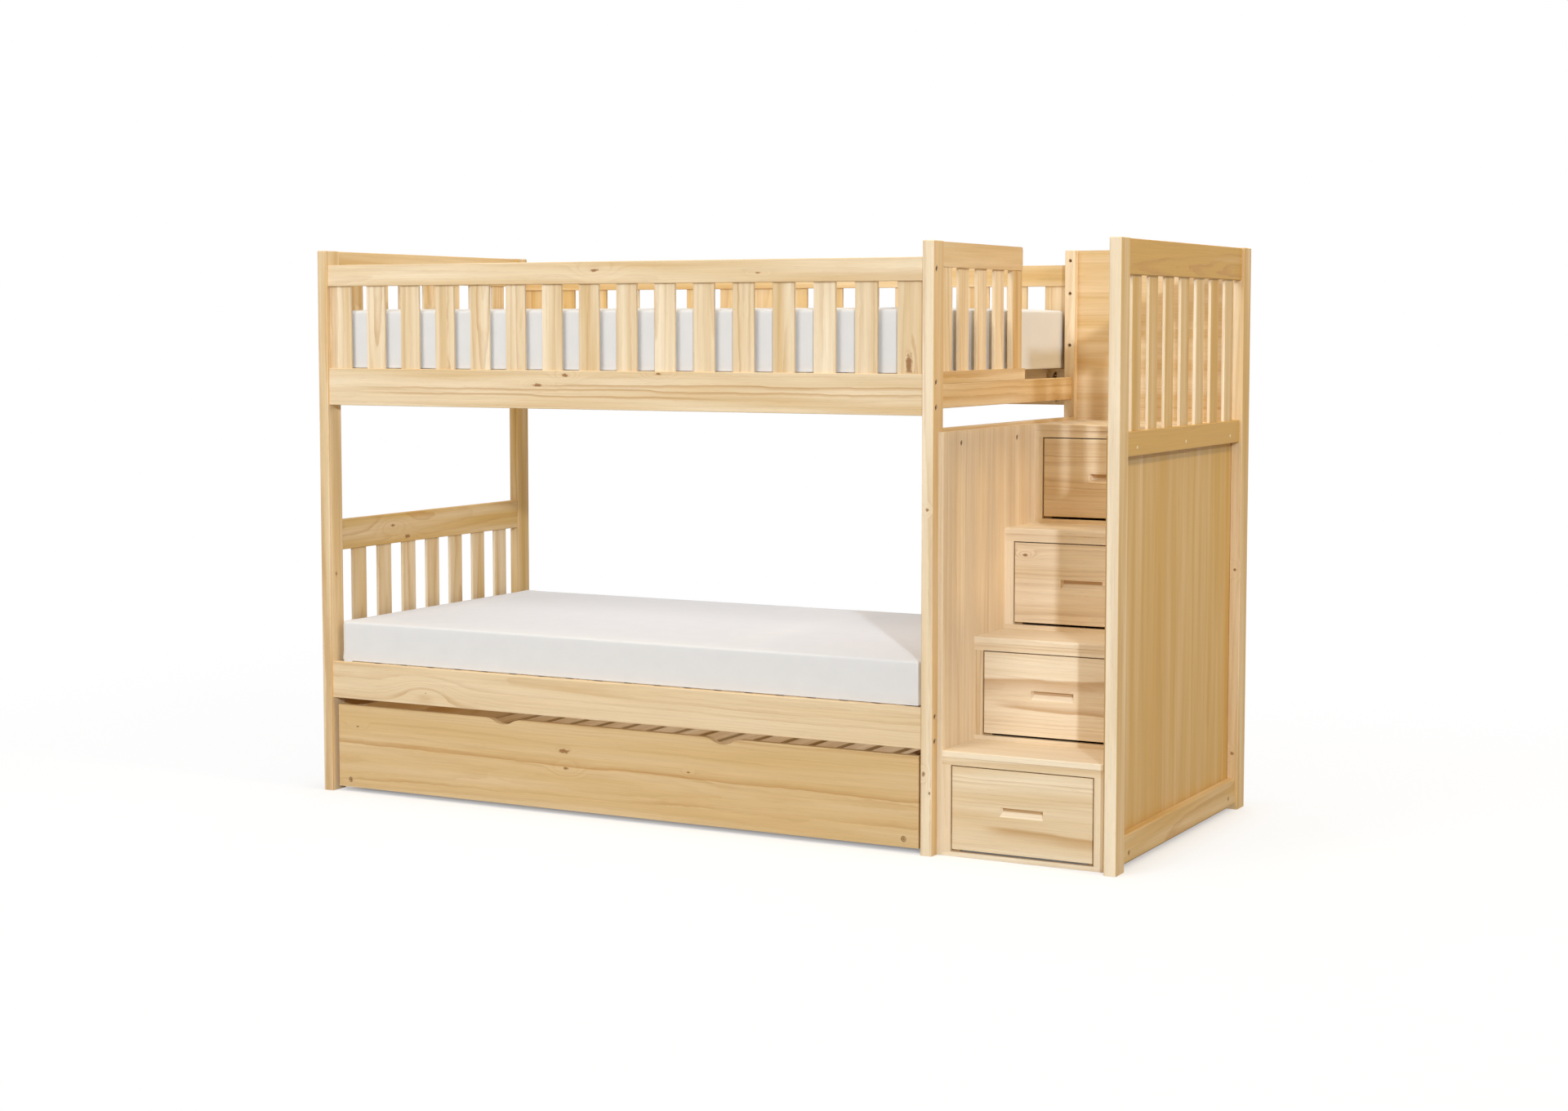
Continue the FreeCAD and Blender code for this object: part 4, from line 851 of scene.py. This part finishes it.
def woven_cotton(look):
    """White woven cotton cover: matt, with a faint thread pattern and soft clouding."""
    material, tree, shader = new_material("Woven cotton")
    place = add_node(tree, "UVMap").outputs["UV"]
    # Real threads lie about 0.5 mm apart, and are drawn wider so that they show
    turns = math.tau / look.thread
    parts = add_node(tree, "SeparateXYZ", {0: place}).outputs
    waves = []
    for axis in ("X", "Y"):
        angle = add_node(tree, "Math", {0: parts[axis], 1: turns}, operation="MULTIPLY")
        waves.append(add_node(tree, "Math", {0: angle}, operation="SINE"))
    weave = add_node(tree, "Math", {0: waves[0], 1: waves[1]}, operation="MULTIPLY")
    cloud = add_node(tree, "TexNoise", {"Vector": place, "Scale": 1 / (60 * MM), "Detail": 3.0})
    relief = add_node(tree, "Math", {0: weave, 1: 0.5, 2: cloud}, operation="MULTIPLY_ADD")
    shade = [c * 0.94 for c in look.cover]
    colour = add_node(tree, "Mix", {0: cloud, 6: opaque(look.cover), 7: opaque(shade)}, data_type="RGBA")
    bump = add_node(tree, "Bump", {"Strength": 0.25, "Distance": 0.3 * MM, "Height": relief})
    rough = add_node(tree, "MapRange", {"Value": weave, "From Min": -1.0, "To Min": 0.8, "To Max": 0.95})
    set_inputs(tree, shader, {"Base Color": colour.outputs[2], "Roughness": rough, "Normal": bump,
                              "IOR": 1.45, "Sheen Weight": 0.15, "Sheen Roughness": 0.5})
    return material


def select_edges(piece, wanted):
    """Select the edges of a piece in edit mode whose two ends pass a test."""
    bpy.ops.mesh.select_all(action="DESELECT")
    bpy.ops.object.mode_set(mode="OBJECT")
    points = piece.data.vertices
    for edge in piece.data.edges:
        a, b = (points[i].co for i in edge.vertices)
        edge.select = wanted(a, b)
    bpy.ops.object.mode_set(mode="EDIT")


def cover_form(name, low, high, look):
    """Closed cover: a box with rounded upright corners, eased edges and an even cloth grid."""
    bpy.ops.object.select_all(action="DESELECT")
    bpy.ops.mesh.primitive_cube_add(size=1, location=(low + high) / 2)
    piece = bpy.context.object
    piece.name = name
    piece.data.name = name
    piece.scale = high - low
    bpy.ops.object.transform_apply(location=True, rotation=True, scale=True)
    bpy.ops.object.mode_set(mode="EDIT")
    bpy.ops.mesh.select_mode(type="EDGE")
    select_edges(piece, lambda a, b: abs(a.z - b.z) > LEVEL)
    bpy.ops.mesh.bevel(offset=look.corner, segments=6, affect="EDGES")
    select_edges(piece, lambda a, b: abs(a.z - b.z) < LEVEL)
    bpy.ops.mesh.bevel(offset=look.edge, segments=3, affect="EDGES")
    for axis in (LENGTH, DEPTH, HEIGHT):
        span = high[axis] - low[axis]
        count = max(2, round(span / look.grid))
        normal = unit(axis)
        for i in range(1, count):
            point = list(low)
            point[axis] = low[axis] + span * i / count
            bpy.ops.mesh.select_all(action="SELECT")
            bpy.ops.mesh.bisect(plane_co=point, plane_no=normal)
    bpy.ops.mesh.select_all(action="SELECT")
    bpy.ops.mesh.remove_doubles(threshold=0.1 * MM)
    bpy.ops.mesh.normals_make_consistent(inside=False)
    bpy.ops.object.mode_set(mode="OBJECT")
    return piece


def fill_cover(piece, floor, look):
    """Swell the cover with its filling: cloth under pressure, held where it lies on the deck."""
    held = piece.vertex_groups.new(name="on the deck")
    held.add([v.index for v in piece.data.vertices if v.co.z < floor + LEVEL], 1.0, "REPLACE")
    rest = [v.co.copy() for v in piece.data.vertices]
    bpy.ops.object.modifier_add(type="CLOTH")
    cloth = piece.modifiers[-1]
    settings = cloth.settings
    settings.quality = 5
    settings.mass = 0.3
    settings.tension_stiffness = 40
    settings.compression_stiffness = 40
    settings.shear_stiffness = 20
    settings.bending_stiffness = 2
    settings.use_pressure = True
    settings.uniform_pressure_force = 4
    settings.effector_weights.gravity = 0
    settings.vertex_group_mass = held.name
    cloth.point_cache.frame_end = SWELL_FRAMES
    for step in range(1, SWELL_FRAMES + 1):
        bpy.context.scene.frame_set(step)
    bpy.ops.object.modifier_apply(modifier=cloth.name)
    bpy.context.scene.frame_set(1)
    for point, before in zip(piece.data.vertices, rest):
        move = point.co - before
        if move.length > look.swell:
            move *= look.swell / move.length
        point.co = before + move
    piece.vertex_groups.clear()


class BUNK_OT_mattresses(bpy.types.Operator):
    """Make the two mattresses as filled cloth covers"""
    bl_idname = "bunk_bed.mattresses"
    bl_label = "Mattresses"

    def execute(self, context):
        look = context.scene.mattress_look
        cotton = woven_cotton(look)
        # Room that the swelling takes up at the sides and at the top
        inset = Vector((look.swell / 2, look.swell / 2, 0))
        top = Vector((0, 0, look.swell / 3))
        for node in ("upper_mattress", "lower_mattress"):
            low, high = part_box(node)
            piece = cover_form(node + "_cover", low + inset, high - inset - top, look)
            fill_cover(piece, low.z, look)
            bpy.ops.object.modifier_add(type="SUBSURF")
            smooth = piece.modifiers[-1]
            smooth.levels = smooth.render_levels = 1
            bpy.ops.object.modifier_apply(modifier=smooth.name)
            bpy.ops.object.mode_set(mode="EDIT")
            bpy.ops.mesh.select_all(action="SELECT")
            bpy.ops.uv.cube_project(cube_size=1.0, correct_aspect=False, scale_to_bounds=False)
            bpy.ops.object.mode_set(mode="OBJECT")
            bpy.ops.object.shade_smooth_by_angle(angle=math.radians(40))
            piece.data.materials.append(cotton)
            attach(piece, "frame")
            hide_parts(node)
        return {"FINISHED"}


# Stage

def seen_rays(tree):
    """Share of rays that show a surface to the eye, also through a reflection."""
    path = add_node(tree, "LightPath").outputs
    seen = add_node(tree, "Math", {0: path["Is Camera Ray"], 1: path["Is Glossy Ray"]}, operation="MAXIMUM")
    return add_node(tree, "Math", {0: seen, 1: path["Is Transmission Ray"]}, operation="MAXIMUM")


def pale_floor(look):
    """Matt pale floor: white to the eye, whiter further off, with the object's shadow near it."""
    material, tree, shader = new_material("Matt pale floor")
    set_inputs(tree, shader, {"Base Color": opaque(look.floor), "Roughness": 0.9, "Specular IOR Level": 0.1})
    place = add_node(tree, "TexCoord").outputs["Object"]
    # Distance outside the footprint in metres: dark under the bed, white from a few metres away
    half = add_node(tree, "VectorMath", {0: place}, operation="ABSOLUTE")
    past = add_node(tree, "VectorMath", {0: half, 1: (CAD_HIGH.x, CAD_HIGH.y, 0)}, operation="SUBTRACT")
    past = add_node(tree, "SeparateXYZ", {0: past}).outputs
    off = add_node(tree, "Math", {0: past["X"], 1: past["Y"]}, operation="MAXIMUM")
    under = add_node(tree, "MapRange", {"Value": off, "From Min": -0.2, "From Max": 0.16, "To Max": 0.82},
                     interpolation_type="SMOOTHSTEP")
    away = add_node(tree, "MapRange", {"Value": off, "From Min": 0.4, "From Max": 2.6, "To Max": 0.18},
                    interpolation_type="SMOOTHSTEP")
    share = add_node(tree, "Math", {0: under, 1: away}, operation="ADD", use_clamp=True)
    white = add_node(tree, "Emission", {"Color": (1, 1, 1, 1), "Strength": 1.0})
    paint = add_node(tree, "BsdfDiffuse", {"Color": (1, 1, 1, 1)})
    shown = add_node(tree, "MixShader", {0: share, 1: paint, 2: white})
    mixed = add_node(tree, "MixShader", {0: seen_rays(tree), 1: shader, 2: shown})
    set_inputs(tree, tree.nodes["Material Output"], {"Surface": mixed})
    return material


def white_world(scene, look):
    """Even fill for the object, dimmer and yellower from the stair end, and plain white behind it."""
    stair_end = (0.42, 0.40, 0.25)
    world = bpy.data.worlds.new("Studio")
    scene.world = world
    world.use_nodes = True
    tree = world.node_tree
    tree.nodes.clear()
    heading = add_node(tree, "SeparateXYZ", {0: add_node(tree, "TexCoord").outputs["Generated"]}).outputs
    side = add_node(tree, "MapRange", {"Value": heading["X"], "From Min": 0.1, "From Max": 0.8},
                    interpolation_type="SMOOTHSTEP")
    colour = add_node(tree, "Mix", {0: side, 6: opaque(linear("#FFF6E8")), 7: opaque(stair_end)},
                      data_type="RGBA").outputs[2]
    fill = add_node(tree, "Background", {"Color": colour, "Strength": look.ambient})
    white = add_node(tree, "Background", {"Color": (1, 1, 1, 1), "Strength": 1.0})
    mixed = add_node(tree, "MixShader", {0: seen_rays(tree), 1: fill, 2: white})
    add_node(tree, "OutputWorld", {"Surface": mixed})


def aimed_lamp(kind, name, place, target):
    """Light of a lamp at a place, turned towards a target."""
    lamp = bpy.data.objects.new(name, bpy.data.lights.new(name, kind))
    bpy.context.scene.collection.objects.link(lamp)
    lamp.location = place
    lamp.rotation_euler = (Vector(target) - Vector(place)).to_track_quat("-Z", "Y").to_euler()
    lamp.visible_camera = False
    return lamp.data


def soft_lamp(name, place, target, power, size, code="#FFFFFF"):
    """Square lamp of a power, size and colour, turned towards a target."""
    lamp = aimed_lamp("AREA", name, place, target)
    lamp.energy = power
    lamp.size = size
    lamp.color = linear(code)
    return lamp


def deck_lamp(name, node, height, power, code):
    """Soft lamp as wide as a node, straight over it."""
    low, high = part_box(node)
    rest = (low + high) / 2
    lamp = soft_lamp(name, (rest.x, rest.y, height), rest, power, high.x - low.x, code)
    lamp.shape = "RECTANGLE"
    lamp.size_y = high.y - low.y


class BUNK_OT_stage(bpy.types.Operator):
    """Set the floor, lamps and camera"""
    bl_idname = "bunk_bed.stage"
    bl_label = "Stage"

    def execute(self, context):
        scene = context.scene
        look = scene.stage_look
        bpy.ops.object.select_all(action="DESELECT")
        bpy.ops.mesh.primitive_plane_add(size=FLOOR_SIZE, location=(0, 0, CAD_LOW.z - 0.5 * MM))
        floor = context.object
        floor.name = "studio_floor"
        bpy.ops.object.transform_apply(location=True)
        floor.data.materials.append(pale_floor(look))
        white_world(scene, look)
        middle = Vector((0, 0, AIM_HEIGHT))
        flat = math.cos(look.key_elevation)
        towards = Vector((math.sin(look.key_azimuth) * flat, -math.cos(look.key_azimuth) * flat,
                          math.sin(look.key_elevation)))
        key = aimed_lamp("SUN", "key_lamp", middle + towards * KEY_DISTANCE, middle)
        key.energy = look.key
        key.angle = math.radians(2)
        key.color = linear("#DCEAFF")
        soft_lamp("overhead_lamp", (0.3, -0.6, 5.2), (0.3, -0.6, 0), look.overhead, 6)
        soft_lamp("front_lamp", (-1.5, -5.4, 5.2), middle, look.front, 2.6)
        soft_lamp("back_lamp", (-0.6, 6.4, 4.3), middle, look.back, 4.5, "#E2ECFF")
        # One wide lamp lights the lower bunk evenly, another the trundle's deck, which shows through the gap
        # over its front
        under_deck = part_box("upper_end_rails")[0].z - 30 * MM
        deck_lamp("bunk_lamp", "lower_mattress", under_deck, look.bunk, "#E6EEFF")
        deck_lamp("trundle_lamp", "trundle_slats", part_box("trundle_front")[1].z, look.trundle, "#F8EED8")
        soft_lamp("side_lamp", (5.3, -0.85, 5.6), middle, look.side, 0.8, "#FDE7BA")
        camera = bpy.data.objects.new("camera", bpy.data.cameras.new("camera"))
        scene.collection.objects.link(camera)
        level = math.cos(CAMERA_PITCH)
        ahead = Vector((-math.sin(CAMERA_AZIMUTH) * level, math.cos(CAMERA_AZIMUTH) * level,
                        -math.sin(CAMERA_PITCH)))
        camera.location = CAMERA_PLACE
        camera.rotation_euler = ahead.to_track_quat("-Z", "Y").to_euler()
        camera.data.sensor_width = SENSOR_WIDTH
        camera.data.lens = FOCAL_LENGTH / FRAME_WIDTH * SENSOR_WIDTH
        camera.data.shift_y = (AXIS_ROW - FRAME_HEIGHT / 2) / FRAME_WIDTH
        scene.camera = camera
        scene.view_settings.view_transform = "Standard"
        return {"FINISHED"}


OPERATORS = (BUNK_OT_posts, BUNK_OT_side_rails, BUNK_OT_guard_slats, BUNK_OT_end_rails, BUNK_OT_decks,
             BUNK_OT_stairs, BUNK_OT_drawers, BUNK_OT_trundle, BUNK_OT_hardware, BUNK_OT_mattresses,
             BUNK_OT_stage)
LOOKS = {"pine_look": PineLook, "mattress_look": MattressLook, "hardware_look": HardwareLook,
         "stage_look": StageLook}


class BUNK_PT_panel(bpy.types.Panel):
    """Steps that finish the bunk bed"""
    bl_idname = "BUNK_PT_panel"
    bl_label = "Pine bunk bed"
    bl_space_type = "VIEW_3D"
    bl_region_type = "UI"
    bl_category = "Bunk Bed"

    def draw(self, context):
        for name in LOOKS:
            look = getattr(context.scene, name)
            box = self.layout.box()
            for key in look.__annotations__:
                box.prop(look, key)
        for operator in OPERATORS:
            self.layout.operator(operator.bl_idname)


def register():
    """Register the classes and the looks."""
    for name, look in LOOKS.items():
        bpy.utils.register_class(look)
        setattr(bpy.types.Scene, name, bpy.props.PointerProperty(type=look))
    for cls in (*OPERATORS, BUNK_PT_panel):
        bpy.utils.register_class(cls)


def unregister():
    """Remove the classes and the looks."""
    for cls in (BUNK_PT_panel, *reversed(OPERATORS)):
        bpy.utils.unregister_class(cls)
    for name, look in LOOKS.items():
        delattr(bpy.types.Scene, name)
        bpy.utils.unregister_class(look)


def main():
    """Finish every piece."""
    register()
    bpy.ops.bunk_bed.stage()
    bpy.ops.bunk_bed.posts()
    bpy.ops.bunk_bed.side_rails()
    bpy.ops.bunk_bed.guard_slats()
    bpy.ops.bunk_bed.end_rails()
    bpy.ops.bunk_bed.decks()
    bpy.ops.bunk_bed.stairs()
    bpy.ops.bunk_bed.drawers()
    bpy.ops.bunk_bed.trundle()
    bpy.ops.bunk_bed.hardware()
    bpy.ops.bunk_bed.mattresses()
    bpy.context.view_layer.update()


if __name__ == "__main__":
    main()
